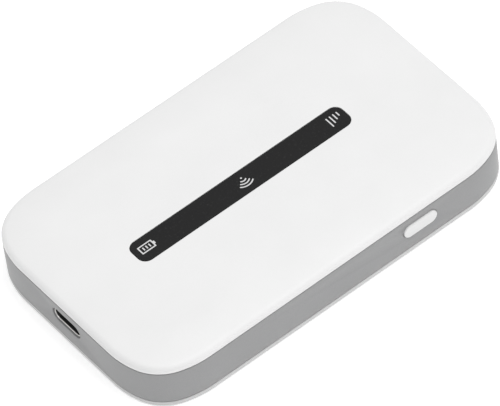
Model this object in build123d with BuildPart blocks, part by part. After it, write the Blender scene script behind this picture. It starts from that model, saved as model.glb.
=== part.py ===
"""Pocket mobile hotspot: a thin slab with a white front cover and back cover round a silver side
frame. Inside are a radio board, a removable battery in a bay and a SIM card behind the battery.

Millimetres, +Z up. The slab lies on its back cover with the origin at the middle of its underside,
+X along its length and away from the charging socket, and the power button on its -Y side."""

import os
from math import cos, radians, sin

from build123d import *

os.makedirs("parts", exist_ok=True)

# Case
length = 100.0
width = 60.5
thickness = 13.2
corner_side_radius = 21.6  # the two long arcs that run out of the straight sides
corner_nose_radius = 11.05  # the tighter arc between them
corner_side_angle = 19.75  # degrees turned by each long arc
side_wall = 1.6
front_wall = 1.5
back_wall = 1.0
front_skirt = 2.4  # depth of the front cover's edge above the front seam
back_skirt = 1.55  # height of the back seam
seam_gap = 0.1
front_round = 1.5
back_round = 0.7
frame_edge_round = 0.25

# Clearances
lap_clearance = 0.15  # between a locating lip and the side frame
snug = 0.05  # between pieces that are pressed together
slide_clearance = 0.12  # round a piece that slides in a hole
bay_clearance = 0.3  # between the battery and its bay, and the battery and the back cover
running_gap = 0.03  # what a retaining bead leaves to the wall it rubs on

# Locating lips and the ledge that the chassis clamps
lip_wall = 0.8
front_lip_depth = 1.7
back_lip_height = 1.25
bead_length = 6.0
bead_height = 0.4
bead_drop = 0.4  # from the lip's rim down to the bead
ledge_reach = 2.0
ledge_thickness = 0.6
nail_notch_radius = 9.0
nail_notch_bite = 0.8  # how far the scoop reaches in from the edge
nail_notch_depth = 0.8

# Status window and its lights
window_length = 57.45
window_width = 6.42
window_corner = 2.12
window_x = -2.0
window_recess = 0.8
window_tape_thickness = 0.1
window_sink = 0.05  # how far the window lies below the cover
window_clearance = 0.06
window_edge = 0.1
battery_icon_offset = -25.4  # each icon's place along the window
wifi_icon_offset = 0.94
signal_icon_offset = 25.8
icon_rise = 0.2  # how far the icons stand off the window's middle line
icon_depth = 0.12
icon_stroke = 0.3
battery_icon_size = (3.65, 2.2)
battery_icon_corner = 0.12
battery_icon_nub = (0.35, 0.8)
battery_icon_bar_length = 0.95
battery_icon_bar_pitch = 0.8
wifi_icon_dot = 0.2
wifi_icon_radii = (1.0, 1.78, 2.56)
wifi_icon_fan = 41
wifi_icon_foot = 0.97
signal_icon_pitch = 0.93
signal_icon_foot = 1.3
signal_icon_lengths = (2.86, 2.32, 1.78, 1.28)
guide_length = 5.0
guide_width = 4.4
guide_flange = 0.6
guide_flange_thickness = 0.4
light_shield_wall = 0.9
guide_lift = 0.2  # from the lights to the guides
led_size = (1.6, 0.8, 0.6)
led_pitch = 2.2
led_room = 2.3  # between the board and the front cover

# Board
board_thickness = 0.8
board_inset = 3.4
board_end_room = 11.5  # left free for the main antenna at the +X end
under_board = 1.1  # from the board down to the battery bay's roof

# Shield cans and chips
shield_sheet = 0.2
shield_height = 1.4
shield_skirt = 0.7
shield_boss_gap = 0.5
main_shield_length = 30.0
main_shield_x = -18.0
radio_shield_length = 26.0
radio_shield_x = 3.0
shield_board_margin = 6.0  # from the board's centre line to each can
shield_fit = 0.03
modem_size = (9.4, 9.4, 1.0)
memory_size = (8.0, 9.4, 0.9)
power_chip_size = (6.0, 6.0, 0.85)
wifi_chip_size = (7.0, 7.0, 0.9)
transceiver_size = (7.0, 7.0, 0.85)
amplifier_size = (4.0, 5.0, 0.8)
passive_size = (1.0, 0.5, 0.4)
passive_pitch = 1.6
inductor_size = (2.5, 2.0, 1.1)
crystal_size = (2.5, 2.0, 0.6)
modem_offset = -7.0  # places along the cans, from each can's middle
memory_offset = 6.0
transceiver_offset = -7.0
amplifier_offset = 4.5
amplifier_pitch = 6.0
wifi_chip_point = (-24.0, -12.0)
power_chip_point = (6.0, 12.0)
inductor_point = (14.5, 12.0)
inductor_pitch = 3.4
crystal_points = [(-15.5, -9.0), (-32.0, -10.0)]
side_passive_drop = 4.2  # from the flat antennas' middle to the small parts beside them
side_passive_x = (-33.0, 22.5)
end_passive_x = 30.0
end_passive_y = 8.0
passive_counts = (5, 3)
spreader_thickness = 0.15
pad_inset = 2.0

# Charging socket
usb_shell_width = 8.94
usb_shell_height = 3.16
usb_shell_wall = 0.3
usb_shell_depth = 7.0
usb_setback = 0.35  # from the case's end to the shell's mouth
usb_opening_clearance = 0.25
usb_tongue_width = 6.6
usb_tongue_thickness = 0.7
usb_tongue_setback = 0.6
usb_plug_depth = 5.2
usb_contact_pitch = 0.5
usb_contact_width = 0.25
usb_contact_length = 3.6
usb_contact_thickness = 0.05
usb_contacts_per_side = 12

# Power button and its switch
button_length = 9.0
button_height = 3.4
button_x = 21.6
button_drop = 1.6  # from the board's underside to the button's axis
button_proud = 0.35
button_round = 0.3
button_flange = 0.6
button_flange_thickness = 0.7
button_nub_size = (2.6, 1.2)
button_nub_depth = 0.4
switch_body_size = (4.6, 2.3, 2.4)
switch_plunger_size = (2.2, 0.8)
switch_plunger_out = 1.0
switch_plunger_in = 0.9
button_travel = 0.25

# Reset switch
reset_end_room = 17.0  # from the antenna end of the case
reset_y = -10.0
reset_body_size = (3.2, 3.2, 1.4)
reset_plunger_radius = 0.6
reset_plunger_out = 0.5
reset_plunger_in = 0.6
reset_hole_radius = 1.0

# SIM card and its socket
sim_length = 12.3
sim_width = 8.8
sim_thickness = 0.67
sim_corner = 1.65
sim_x = -27.6
sim_y = 8.0
sim_socket_length = 10.6
sim_socket_sheet = 0.15
sim_base_thickness = 0.38
sim_contact_size = (1.8, 1.1, 0.05)
sim_contact_pitch = 2.54
sim_contact_gap = 0.1
sim_travel = 13.0
sim_window_margin = 1.2

# Battery and its bay
battery_end_room = 14.0  # from the battery to the socket end of the case
battery_contact_end_room = 28.0
battery_side_room = 9.25
battery_corner = 1.5
battery_edge_round = 0.8
battery_cap_length = 3.0
battery_label_thickness = 0.05
battery_label_margin = 4.0
bay_wall = 1.0
bay_roof = 0.8
contact_count = 4
contact_pitch = 2.4
contact_size = (0.1, 1.5, 2.0)
spring_width = 0.9
spring_sheet = 0.2
connector_size = (4.6, 11.0)
connector_slot_height = 3.0

# Rear chassis and screws
chassis_wall = 1.0
chassis_side_drop = 0.7  # from the socket's shell down to the chassis's side wall
boss_radius = 2.2
screw_radius = 0.7
screw_hole_radius = 0.85
screw_pilot_radius = 0.72
screw_head_radius = 1.25
screw_head_height = 0.9
screw_head_clearance = 0.25
screw_seat_drop = 2.85  # from the board's underside down to the head's seat
screw_tip_depth = 0.1
screw_pilot_spare = 0.3
cross_slot = (1.5, 0.35, 0.4)
end_screw_x = 8.5  # from the socket end of the case
end_screw_side_room = 14.25
side_screw_x = -8.0
side_screw_inset = 6.05
far_screw_x = 20.0  # from the antenna end of the case
far_screw_side_room = 10.25

# Antennas
carrier_gap = 1.0
carrier_wall = 1.0
carrier_drop = 0.7  # from the front cover's inner face to the carrier
antenna_sheet = 0.1
antenna_side_room = 13.25
antenna_track = 1.1
antenna_teeth = 8
antenna_tab_reach = 2.6  # how far the feed tab passes over the board
patch_length = 17.0
patch_width = 5.0
patch_slots = 4
patch_slot_size = (0.8, 3.4)
patch_side_inset = 7.75
diversity_patch_x = 15.0
wifi_patch_x = -27.0
antenna_edge = 0.8
clip_size = (2.4, 1.4)
clip_sheet = 0.15

# Levels that follow from the sizes above
half_length = length / 2
half_width = width / 2
front_seam = thickness - front_skirt
front_inside = thickness - front_wall
board_top = front_inside - led_room
board_bottom = board_top - board_thickness
bay_roof_top = board_bottom - under_board
bay_ceiling = bay_roof_top - bay_roof
battery_top = bay_ceiling - snug
battery_bottom = back_wall + bay_clearance
chassis_bottom = battery_bottom
chassis_plate_top = chassis_bottom + chassis_wall
ledge_bottom = chassis_plate_top + snug
ledge_top = ledge_bottom + ledge_thickness
lip_inset = side_wall + lap_clearance
chassis_inset = lip_inset + lip_wall + lap_clearance
chassis_wall_inset = side_wall + ledge_reach + lap_clearance
usb_z = board_bottom - usb_shell_height / 2
button_floor = ledge_top + slide_clearance  # the button's flange stays above the side frame's ledge
button_z = max(board_bottom - button_drop, button_floor + button_height / 2 + button_flange)
window_floor = thickness - window_recess
window_top = thickness - window_sink
window_bottom = window_floor + window_tape_thickness
board_end = half_length - board_end_room
carrier_start = board_end + carrier_gap
screw_seat = board_bottom - screw_seat_drop
screw_tip = front_inside + screw_tip_depth
pilot_end = screw_tip + screw_pilot_spare
battery_start = battery_end_room - half_length
battery_end = half_length - battery_contact_end_room
battery_width = width - 2 * battery_side_room
reset_x = half_length - reset_end_room
spring_z = (battery_bottom + battery_top) / 2
connector_face = battery_end + bay_clearance + bay_wall + snug
bay_start = battery_start - bay_clearance
bay_end = battery_end + bay_clearance
bay_width = battery_width + 2 * bay_clearance
side_screw_y = half_width - side_screw_inset
patch_y = half_width - patch_side_inset

screw_points = [
    (x, side * y)
    for x, y in (
        (end_screw_x - half_length, half_width - end_screw_side_room),
        (side_screw_x, side_screw_y),
        (half_length - far_screw_x, half_width - far_screw_side_room),
    )
    for side in (-1, 1)
]
icon_points = [
    (window_x + offset, 0) for offset in (battery_icon_offset, wifi_icon_offset, signal_icon_offset)
]


def case_outline(inset, mode=Mode.ADD):
    """The case's plan, drawn this far inside its outer edge, as a face of the open sketch. Each
    corner is three arcs, and all of them keep their centres, so insets stay parallel."""
    end = half_length - inset
    side = half_width - inset
    side_radius = corner_side_radius - inset
    nose_radius = corner_nose_radius - inset
    turn = radians(corner_side_angle)
    step = side_radius - nose_radius
    reach = side_radius + step * (sin(turn) - cos(turn))
    nose = reach - step * sin(turn)
    with BuildLine() as edge:
        Line((0, side), (end - reach, side))
        CenterArc((end - reach, side - side_radius), side_radius, 90, -corner_side_angle)
        CenterArc((end - nose, side - nose), nose_radius, 90 - corner_side_angle, 2 * corner_side_angle - 90)
        CenterArc((end - side_radius, side - reach), side_radius, corner_side_angle, -corner_side_angle)
        Line((end, side - reach), (end, 0))
        mirror(about=Plane.XZ)
        mirror(about=Plane.YZ)
    make_face(edge.edges(), mode=mode)


def case_ring(outer_inset, inner_inset, bottom, top):
    """A wall that follows the case's outline, joined to the open part."""
    with BuildSketch(Plane.XY.offset(bottom)) as plan:
        case_outline(outer_inset)
        case_outline(inner_inset, mode=Mode.SUBTRACT)
    extrude(plan.sketch, amount=top - bottom)


def block(size_x, size_y, bottom, top, points, mode=Mode.ADD, corner=0.0):
    """Upright blocks between two levels, centred on points of the plan."""
    with BuildSketch(Plane.XY.offset(bottom)) as plan:
        with Locations(*points):
            if corner:
                RectangleRounded(size_x, size_y, corner)
            else:
                Rectangle(size_x, size_y)
    extrude(plan.sketch, amount=top - bottom, mode=mode)


def post(radius, bottom, top, points, mode=Mode.ADD):
    """Upright round posts or holes between two levels."""
    with BuildSketch(Plane.XY.offset(bottom)) as plan:
        with Locations(*points):
            Circle(radius)
    extrude(plan.sketch, amount=top - bottom, mode=mode)


def finish(part, name):
    part.part.label = name
    export_step(part.part, f"parts/{name}.step")


# ---- Housing ----

# Front cover: a shallow shell with a lip that drops inside the side frame, six screw posts and the
# recess that the status window is stuck into.
with BuildPart() as front_cover:
    with BuildSketch(Plane.XY.offset(front_seam + seam_gap / 2)):
        case_outline(0)
    extrude(amount=front_skirt - seam_gap / 2)
    fillet(front_cover.faces().sort_by(Axis.Z)[-1].edges(), front_round)
    with BuildSketch(Plane.XY.offset(front_seam + seam_gap / 2)):
        case_outline(side_wall)
    extrude(amount=front_inside - front_seam - seam_gap / 2, mode=Mode.SUBTRACT)
    case_ring(lip_inset, lip_inset + lip_wall, front_inside - front_lip_depth, front_inside)
    post(boss_radius, board_top, front_inside, screw_points)
    post(screw_pilot_radius, board_top, pilot_end, screw_points, Mode.SUBTRACT)
    block(
        window_length + 2 * window_clearance,
        window_width + 2 * window_clearance,
        window_floor,
        thickness,
        [(window_x, 0)],
        Mode.SUBTRACT,
        window_corner + window_clearance,
    )
    block(
        guide_length + 2 * slide_clearance,
        guide_width + 2 * slide_clearance,
        front_inside,
        window_floor,
        icon_points,
        Mode.SUBTRACT,
    )
finish(front_cover, "front_cover")

# Side frame: the silver ring, with a ledge inside that the rear chassis presses up against the
# front cover, and openings for the charging plug and the power button.
with BuildPart() as side_frame:
    case_ring(0, side_wall, back_skirt + seam_gap / 2, front_seam - seam_gap / 2)
    outer_edges = side_frame.faces().sort_by(Axis.Z)[-1].outer_wire().edges()
    outer_edges += side_frame.faces().sort_by(Axis.Z)[0].outer_wire().edges()
    fillet(outer_edges, frame_edge_round)
    case_ring(side_wall - snug, side_wall + ledge_reach, ledge_bottom, ledge_top)
    with BuildSketch(Plane.YZ.offset(-half_length)):
        with Locations((0, usb_z)):
            SlotOverall(
                usb_shell_width + 2 * usb_opening_clearance, usb_shell_height + 2 * usb_opening_clearance
            )
    extrude(amount=side_wall, mode=Mode.SUBTRACT)
    with BuildSketch(Plane.XZ.offset(half_width)):
        with Locations((button_x, button_z)):
            SlotOverall(button_length + 2 * slide_clearance, button_height + 2 * slide_clearance)
    extrude(amount=-side_wall, mode=Mode.SUBTRACT)
finish(side_frame, "side_frame")

# Back cover: a flat dish whose lip carries small beads that rub on the side frame's inner wall, with
# a scoop at the antenna end for a fingernail.
with BuildPart() as back_cover:
    with BuildSketch():
        case_outline(0)
    extrude(amount=back_skirt - seam_gap / 2)
    fillet(back_cover.faces().sort_by(Axis.Z)[0].edges(), back_round)
    with BuildSketch(Plane.XY.offset(back_wall)):
        case_outline(side_wall)
    extrude(amount=back_skirt, mode=Mode.SUBTRACT)
    case_ring(lip_inset, lip_inset + lip_wall, back_wall, back_wall + back_lip_height)
    bead_reach = lap_clearance - running_gap
    with BuildSketch(Plane.XY.offset(back_wall + back_lip_height - bead_drop - bead_height / 2)):
        with Locations(*[(x, 0) for x in (-half_length / 2, 0, half_length / 2)]):
            Rectangle(bead_length, width - 2 * (lip_inset - bead_reach))
        with Locations((0, -half_width / 4), (0, half_width / 4)):
            Rectangle(length - 2 * (lip_inset - bead_reach), bead_length)
        case_outline(lip_inset + lip_wall / 2, mode=Mode.SUBTRACT)
    extrude(amount=bead_height)
    with BuildSketch(Plane.XY.offset(back_skirt - nail_notch_depth)):
        with Locations((half_length + nail_notch_radius - nail_notch_bite, 0)):
            Circle(nail_notch_radius)
    extrude(amount=nail_notch_depth, mode=Mode.SUBTRACT)
finish(back_cover, "back_cover")

# Rear chassis: a tray with the battery bay in its middle, open to the back, and six posts that
# the board rests on and the screws pass up through.
with BuildPart() as rear_chassis:
    with BuildSketch(Plane.XY.offset(chassis_bottom)):
        case_outline(chassis_inset)
    extrude(amount=chassis_plate_top - chassis_bottom)
    case_ring(
        chassis_wall_inset,
        chassis_wall_inset + chassis_wall,
        chassis_plate_top,
        usb_z - usb_shell_height / 2 - chassis_side_drop,
    )
    bay_middle = [((bay_start + bay_end) / 2, 0)]
    bay_length = bay_end - bay_start
    block(bay_length + 2 * bay_wall, bay_width + 2 * bay_wall, chassis_bottom, bay_roof_top, bay_middle)
    post(boss_radius, chassis_plate_top, board_bottom, screw_points)
    block(bay_length, bay_width, chassis_bottom, bay_ceiling, bay_middle, Mode.SUBTRACT)
    post(screw_hole_radius, chassis_bottom, board_bottom, screw_points, Mode.SUBTRACT)
    post(screw_head_radius + screw_head_clearance, chassis_bottom, screw_seat, screw_points, Mode.SUBTRACT)
    post(reset_hole_radius, chassis_bottom, chassis_plate_top, [(reset_x, reset_y)], Mode.SUBTRACT)
    # the window that the SIM card slides in
    block(
        sim_length + sim_travel + 2 * sim_window_margin,
        sim_width + 2 * sim_window_margin,
        bay_ceiling,
        bay_roof_top,
        [(sim_x + sim_travel / 2, sim_y)],
        Mode.SUBTRACT,
    )
    # the slot that the battery springs reach through
    block(
        3 * bay_wall,
        connector_size[1] + 2 * slide_clearance,
        spring_z - connector_slot_height / 2,
        spring_z + connector_slot_height / 2,
        [(bay_end + bay_wall / 2, 0)],
        Mode.SUBTRACT,
    )
finish(rear_chassis, "rear_chassis")

# Six screws, from the chassis up into the front cover's posts.
with BuildPart() as chassis_screws:
    post(screw_head_radius, screw_seat - screw_head_height, screw_seat, screw_points)
    post(screw_radius, screw_seat, screw_tip, screw_points)
    head_face = screw_seat - screw_head_height
    block(cross_slot[0], cross_slot[1], head_face, head_face + cross_slot[2], screw_points, Mode.SUBTRACT)
    block(cross_slot[1], cross_slot[0], head_face, head_face + cross_slot[2], screw_points, Mode.SUBTRACT)
finish(chassis_screws, "chassis_screws")

# ---- Status window ----


def icon_strokes():
    """The icons' strokes, as faces of the open sketch. They stand upright seen from the button's
    side: a battery, wireless arcs over a dot, and four signal bars."""
    battery_point, wifi_point, signal_point = [(x, y + icon_rise) for x, y in icon_points]
    with Locations(battery_point):
        RectangleRounded(*battery_icon_size, battery_icon_corner)
        RectangleRounded(
            battery_icon_size[0] - 2 * icon_stroke,
            battery_icon_size[1] - 2 * icon_stroke,
            battery_icon_corner / 2,
            mode=Mode.SUBTRACT,
        )
        with Locations(((battery_icon_size[0] + battery_icon_nub[0]) / 2, 0)):
            Rectangle(*battery_icon_nub)
        with GridLocations(battery_icon_bar_pitch, 1, 3, 1):
            SlotOverall(battery_icon_bar_length, icon_stroke, rotation=90)
    with Locations(wifi_point):
        with Locations((0, wifi_icon_foot)):
            Circle(wifi_icon_dot)
            for radius in wifi_icon_radii:
                with BuildLine(mode=Mode.PRIVATE) as arc:
                    CenterArc((0, 0), radius, 270 - wifi_icon_fan, 2 * wifi_icon_fan)
                SlotArc(arc.edge(), icon_stroke)
    for number, bar_length in enumerate(signal_icon_lengths):
        bar_x = signal_point[0] + (number - 1.5) * signal_icon_pitch
        with Locations((bar_x, signal_point[1] + signal_icon_foot - bar_length / 2)):
            SlotOverall(bar_length, icon_stroke, rotation=90)


# The window is a smoked strip. Its icons are clear inlays, level with its face.
with BuildPart() as status_window:
    block(
        window_length, window_width, window_bottom, window_top, [(window_x, 0)], corner=window_corner
    )
    chamfer(status_window.faces().sort_by(Axis.Z)[-1].edges(), window_edge)
    with BuildSketch(Plane.XY.offset(window_top - icon_depth)):
        icon_strokes()
    extrude(amount=icon_depth, mode=Mode.SUBTRACT)
finish(status_window, "status_window")

with BuildPart() as status_icons:
    with BuildSketch(Plane.XY.offset(window_top - icon_depth)):
        icon_strokes()
    extrude(amount=icon_depth)
finish(status_icons, "status_icons")

# Double-sided tape under the window, open over each light guide.
with BuildPart() as window_tape:
    block(
        window_length, window_width, window_floor, window_bottom, [(window_x, 0)], corner=window_corner
    )
    block(guide_length, guide_width, window_floor, window_bottom, icon_points, Mode.SUBTRACT)
finish(window_tape, "window_tape")

# One clear guide under each icon. Its flange hangs below the cover, in its cell of the black shield
# that keeps each light to its own icon.
guide_bottom = board_top + led_size[2] + guide_lift
for name, point in zip(("battery", "wifi", "signal"), icon_points):
    with BuildPart() as light_guide:
        block(guide_length, guide_width, guide_bottom, window_floor - snug, [point])
        flange_top = front_inside - snug
        block(
            guide_length + 2 * guide_flange,
            guide_width + 2 * guide_flange,
            flange_top - guide_flange_thickness,
            flange_top,
            [point],
        )
    finish(light_guide, f"light_guide_{name}")

with BuildPart() as light_shield:
    cell_length = guide_length + 2 * (guide_flange + slide_clearance)
    cell_width = guide_width + 2 * (guide_flange + slide_clearance)
    shield_span = icon_points[2][0] - icon_points[0][0] + cell_length + 2 * light_shield_wall
    shield_middle = [((icon_points[0][0] + icon_points[2][0]) / 2, 0)]
    block(
        shield_span, cell_width + 2 * light_shield_wall, board_top, front_inside - snug, shield_middle
    )
    block(cell_length, cell_width, board_top, front_inside, icon_points, Mode.SUBTRACT)
finish(light_shield, "light_shield")

led_points = [(x + side * led_pitch / 2, y) for x, y in icon_points for side in (-1, 1)]
with BuildPart() as status_leds:
    block(led_size[0], led_size[1], board_top, board_top + led_size[2], led_points)
finish(status_leds, "status_leds")

# ---- Board, shield cans and chips ----

with BuildPart() as main_board:
    with BuildSketch(Plane.XY.offset(board_bottom)):
        case_outline(board_inset)
        with Locations((board_end, 0)):
            Rectangle(length, width, align=(Align.MIN, Align.CENTER), mode=Mode.SUBTRACT)
    extrude(amount=board_thickness)
    post(screw_hole_radius, board_bottom, board_top, screw_points, Mode.SUBTRACT)
finish(main_board, "main_board")

can_width = side_screw_y - boss_radius - shield_boss_gap - shield_board_margin
can_y = shield_board_margin + can_width / 2
lid_top = board_top + shield_height
for name, can_length, point in (
    ("main", main_shield_length, (main_shield_x, can_y)),
    ("radio", radio_shield_length, (radio_shield_x, -can_y)),
):
    inner_length = can_length - 2 * shield_sheet
    inner_width = can_width - 2 * shield_sheet
    fence_length = inner_length - 2 * shield_fit
    fence_width = inner_width - 2 * shield_fit
    with BuildPart() as shield_lid:
        block(can_length, can_width, lid_top - shield_skirt, lid_top, [point])
        block(
            inner_length,
            inner_width,
            lid_top - shield_skirt,
            lid_top - shield_sheet,
            [point],
            Mode.SUBTRACT,
        )
    finish(shield_lid, f"{name}_shield_lid")
    with BuildPart() as shield_frame:
        block(fence_length, fence_width, board_top, lid_top - shield_sheet, [point])
        block(
            fence_length - 2 * shield_sheet,
            fence_width - 2 * shield_sheet,
            board_top,
            lid_top - shield_sheet,
            [point],
            Mode.SUBTRACT,
        )
    finish(shield_frame, f"{name}_shield_frame")

amplifier_points = [
    (radio_shield_x + amplifier_offset + side * amplifier_pitch / 2, -can_y) for side in (-1, 1)
]
for name, size, points in (
    ("modem_chip", modem_size, [(main_shield_x + modem_offset, can_y)]),
    ("memory_chip", memory_size, [(main_shield_x + memory_offset, can_y)]),
    ("radio_chip", transceiver_size, [(radio_shield_x + transceiver_offset, -can_y)]),
    ("power_amplifiers", amplifier_size, amplifier_points),
    ("wifi_chip", wifi_chip_size, [wifi_chip_point]),
    ("power_chip", power_chip_size, [power_chip_point]),
    ("board_crystals", crystal_size, crystal_points),
):
    with BuildPart() as chip:
        block(size[0], size[1], board_top, board_top + size[2], points)
    finish(chip, name)

with BuildPart() as power_inductors:
    with BuildSketch(Plane.XY.offset(board_top)):
        with Locations(inductor_point):
            with GridLocations(inductor_pitch, inductor_pitch, 2, 2):
                Rectangle(inductor_size[0], inductor_size[1])
    extrude(amount=inductor_size[2])
finish(power_inductors, "power_inductors")

side_passive_y = patch_y - side_passive_drop
passive_rows = [
    (side_passive_x[0], -side_passive_y),
    (side_passive_x[1], side_passive_y),
    (end_passive_x, end_passive_y),
    (end_passive_x, -end_passive_y),
]
with BuildPart() as board_passives:
    with BuildSketch(Plane.XY.offset(board_top)):
        with Locations(*passive_rows):
            with GridLocations(passive_pitch, passive_pitch, *passive_counts):
                Rectangle(passive_size[0], passive_size[1])
    extrude(amount=passive_size[2])
finish(board_passives, "board_passives")

# Heat path from the modem's can to the front cover: a soft pad under a graphite sheet.
with BuildPart() as heat_spreader:
    block(
        main_shield_length,
        can_width,
        front_inside - spreader_thickness,
        front_inside,
        [(main_shield_x, can_y)],
    )
finish(heat_spreader, "heat_spreader")

with BuildPart() as thermal_pad:
    block(
        main_shield_length - 2 * pad_inset,
        can_width - 2 * pad_inset,
        lid_top,
        front_inside - spreader_thickness,
        [(main_shield_x, can_y)],
    )
finish(thermal_pad, "thermal_pad")

# ---- Charging socket, under the board's edge ----

usb_mouth = usb_setback - half_length
usb_bore_width = usb_shell_width - 2 * usb_shell_wall
usb_bore_height = usb_shell_height - 2 * usb_shell_wall

with BuildPart() as usb_shell:
    with BuildSketch(Plane.YZ.offset(usb_mouth)):
        with Locations((0, usb_z)):
            SlotOverall(usb_shell_width, usb_shell_height)
            SlotOverall(usb_bore_width, usb_bore_height, mode=Mode.SUBTRACT)
    extrude(amount=usb_shell_depth)
finish(usb_shell, "usb_shell")

with BuildPart() as usb_tongue:
    with BuildSketch(Plane.YZ.offset(usb_mouth + usb_plug_depth)):
        with Locations((0, usb_z)):
            SlotOverall(usb_bore_width, usb_bore_height)
    extrude(amount=usb_shell_depth - usb_plug_depth)
    with BuildSketch(Plane.YZ.offset(usb_mouth + usb_tongue_setback)):
        with Locations((0, usb_z)):
            Rectangle(usb_tongue_width, usb_tongue_thickness)
    extrude(amount=usb_plug_depth - usb_tongue_setback)
finish(usb_tongue, "usb_tongue")

with BuildPart() as usb_contacts:
    contact_x = usb_mouth + usb_plug_depth - usb_contact_length / 2
    tongue_top = usb_z + usb_tongue_thickness / 2
    tongue_bottom = usb_z - usb_tongue_thickness / 2 - usb_contact_thickness
    for level in (tongue_bottom, tongue_top):
        with BuildSketch(Plane.XY.offset(level)):
            with Locations((contact_x, 0)):
                with GridLocations(1, usb_contact_pitch, 1, usb_contacts_per_side):
                    Rectangle(usb_contact_length, usb_contact_width)
        extrude(amount=usb_contact_thickness)
finish(usb_contacts, "usb_contacts")

# ---- Power button and its side-push switch ----

button_face = half_width + button_proud
flange_front = half_width - side_wall - snug
flange_back = flange_front - button_flange_thickness
nub_end = flange_back - button_nub_depth
plunger_front = nub_end - running_gap
switch_front = plunger_front - switch_plunger_out
switch_bottom = board_bottom - switch_body_size[2]

with BuildPart() as power_button:
    with BuildSketch(Plane.XZ.offset(button_face)):
        with Locations((button_x, button_z)):
            SlotOverall(button_length, button_height)
    extrude(amount=flange_front - button_face)
    fillet(power_button.faces().sort_by(Axis.Y)[0].edges(), button_round)
    with BuildSketch(Plane.XZ.offset(flange_front)):
        with Locations((button_x, button_z)):
            SlotOverall(button_length + 2 * button_flange, button_height + 2 * button_flange)
    extrude(amount=-button_flange_thickness)
    with BuildSketch(Plane.XZ.offset(flange_back)):
        with Locations((button_x, button_z)):
            Rectangle(*button_nub_size)
    extrude(amount=-button_nub_depth)
finish(power_button, "power_button")

with BuildPart() as power_switch_body:
    block(
        switch_body_size[0],
        switch_body_size[1],
        switch_bottom,
        board_bottom,
        [(button_x, switch_body_size[1] / 2 - switch_front)],
    )
    with BuildSketch(Plane.XZ.offset(switch_front)):
        with Locations((button_x, button_z)):
            Rectangle(switch_plunger_size[0] + 2 * snug, switch_plunger_size[1] + 2 * snug)
    extrude(amount=-(switch_plunger_in + button_travel + snug), mode=Mode.SUBTRACT)
finish(power_switch_body, "power_switch_body")

with BuildPart() as power_switch_plunger:
    with BuildSketch(Plane.XZ.offset(plunger_front)):
        with Locations((button_x, button_z)):
            Rectangle(*switch_plunger_size)
    extrude(amount=-(switch_plunger_out + switch_plunger_in))
finish(power_switch_plunger, "power_switch_plunger")

# ---- Reset switch, reached with a pin through the chassis under the back cover ----

reset_face = board_bottom - reset_body_size[2]
with BuildPart() as reset_switch_body:
    block(reset_body_size[0], reset_body_size[1], reset_face, board_bottom, [(reset_x, reset_y)])
    post(
        reset_plunger_radius + snug,
        reset_face,
        reset_face + reset_plunger_in + button_travel + snug,
        [(reset_x, reset_y)],
        Mode.SUBTRACT,
    )
finish(reset_switch_body, "reset_switch_body")

with BuildPart() as reset_plunger:
    post(
        reset_plunger_radius,
        reset_face - reset_plunger_out,
        reset_face + reset_plunger_in,
        [(reset_x, reset_y)],
    )
finish(reset_plunger, "reset_plunger")

# ---- SIM socket, under the board and over the window in the bay's roof ----

sim_top = board_bottom - sim_base_thickness - sim_contact_gap
sim_bottom = sim_top - sim_thickness
sim_tunnel_width = sim_width + 2 * slide_clearance
# the card's inner end sits at the socket's closed end, and its outer end stands out to be gripped
socket_middle = [(sim_x - (sim_length - sim_socket_length) / 2, sim_y)]

with BuildPart() as sim_socket_shell:
    block(
        sim_socket_length,
        sim_tunnel_width + 2 * sim_socket_sheet,
        sim_bottom - snug - sim_socket_sheet,
        board_bottom,
        socket_middle,
    )
    block(
        sim_socket_length + 1,
        sim_tunnel_width,
        sim_bottom - snug,
        board_bottom,
        socket_middle,
        Mode.SUBTRACT,
    )
    block(
        sim_socket_length / 2,
        sim_width / 2,
        sim_bottom - snug - sim_socket_sheet,
        sim_bottom,
        socket_middle,
        Mode.SUBTRACT,
    )
finish(sim_socket_shell, "sim_socket_shell")

with BuildPart() as sim_socket_base:
    block(
        sim_socket_length, sim_tunnel_width, board_bottom - sim_base_thickness, board_bottom, socket_middle
    )
finish(sim_socket_base, "sim_socket_base")

with BuildPart() as sim_contacts:
    base_bottom = board_bottom - sim_base_thickness
    with BuildSketch(Plane.XY.offset(base_bottom - sim_contact_size[2])):
        with Locations(*socket_middle):
            with GridLocations(sim_contact_pitch * 2, sim_contact_pitch, 2, 3):
                Rectangle(sim_contact_size[0], sim_contact_size[1])
    extrude(amount=sim_contact_size[2])
finish(sim_contacts, "sim_contacts")

with BuildPart() as sim_card:
    block(sim_length, sim_width, sim_bottom, sim_top, [(sim_x, sim_y)])
    chamfer(sim_card.edges().filter_by(Axis.Z).sort_by(Axis.X)[-1], sim_corner)
finish(sim_card, "sim_card")

# ---- Battery pack ----

cell_end = battery_end - battery_cap_length
cell_middle = [((battery_start + cell_end) / 2, 0)]
cell_length = cell_end - battery_start
cell_bottom = battery_bottom + battery_label_thickness

with BuildPart() as battery_cell:
    block(cell_length, battery_width, cell_bottom, battery_top, cell_middle)
    fillet(battery_cell.edges().filter_by(Axis.X), battery_corner)
    fillet(battery_cell.faces().sort_by(Axis.X)[0].edges(), battery_edge_round)
finish(battery_cell, "battery_cell")

with BuildPart() as battery_end_cap:
    block(
        battery_cap_length,
        battery_width,
        cell_bottom,
        battery_top,
        [(battery_end - battery_cap_length / 2, 0)],
    )
    fillet(battery_end_cap.edges().filter_by(Axis.X), battery_corner)
    with BuildSketch(Plane.YZ.offset(battery_end - contact_size[0])):
        with Locations((0, spring_z)):
            with GridLocations(contact_pitch, 1, contact_count, 1):
                Rectangle(contact_size[1], contact_size[2])
    extrude(amount=contact_size[0], mode=Mode.SUBTRACT)
finish(battery_end_cap, "battery_end_cap")

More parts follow.
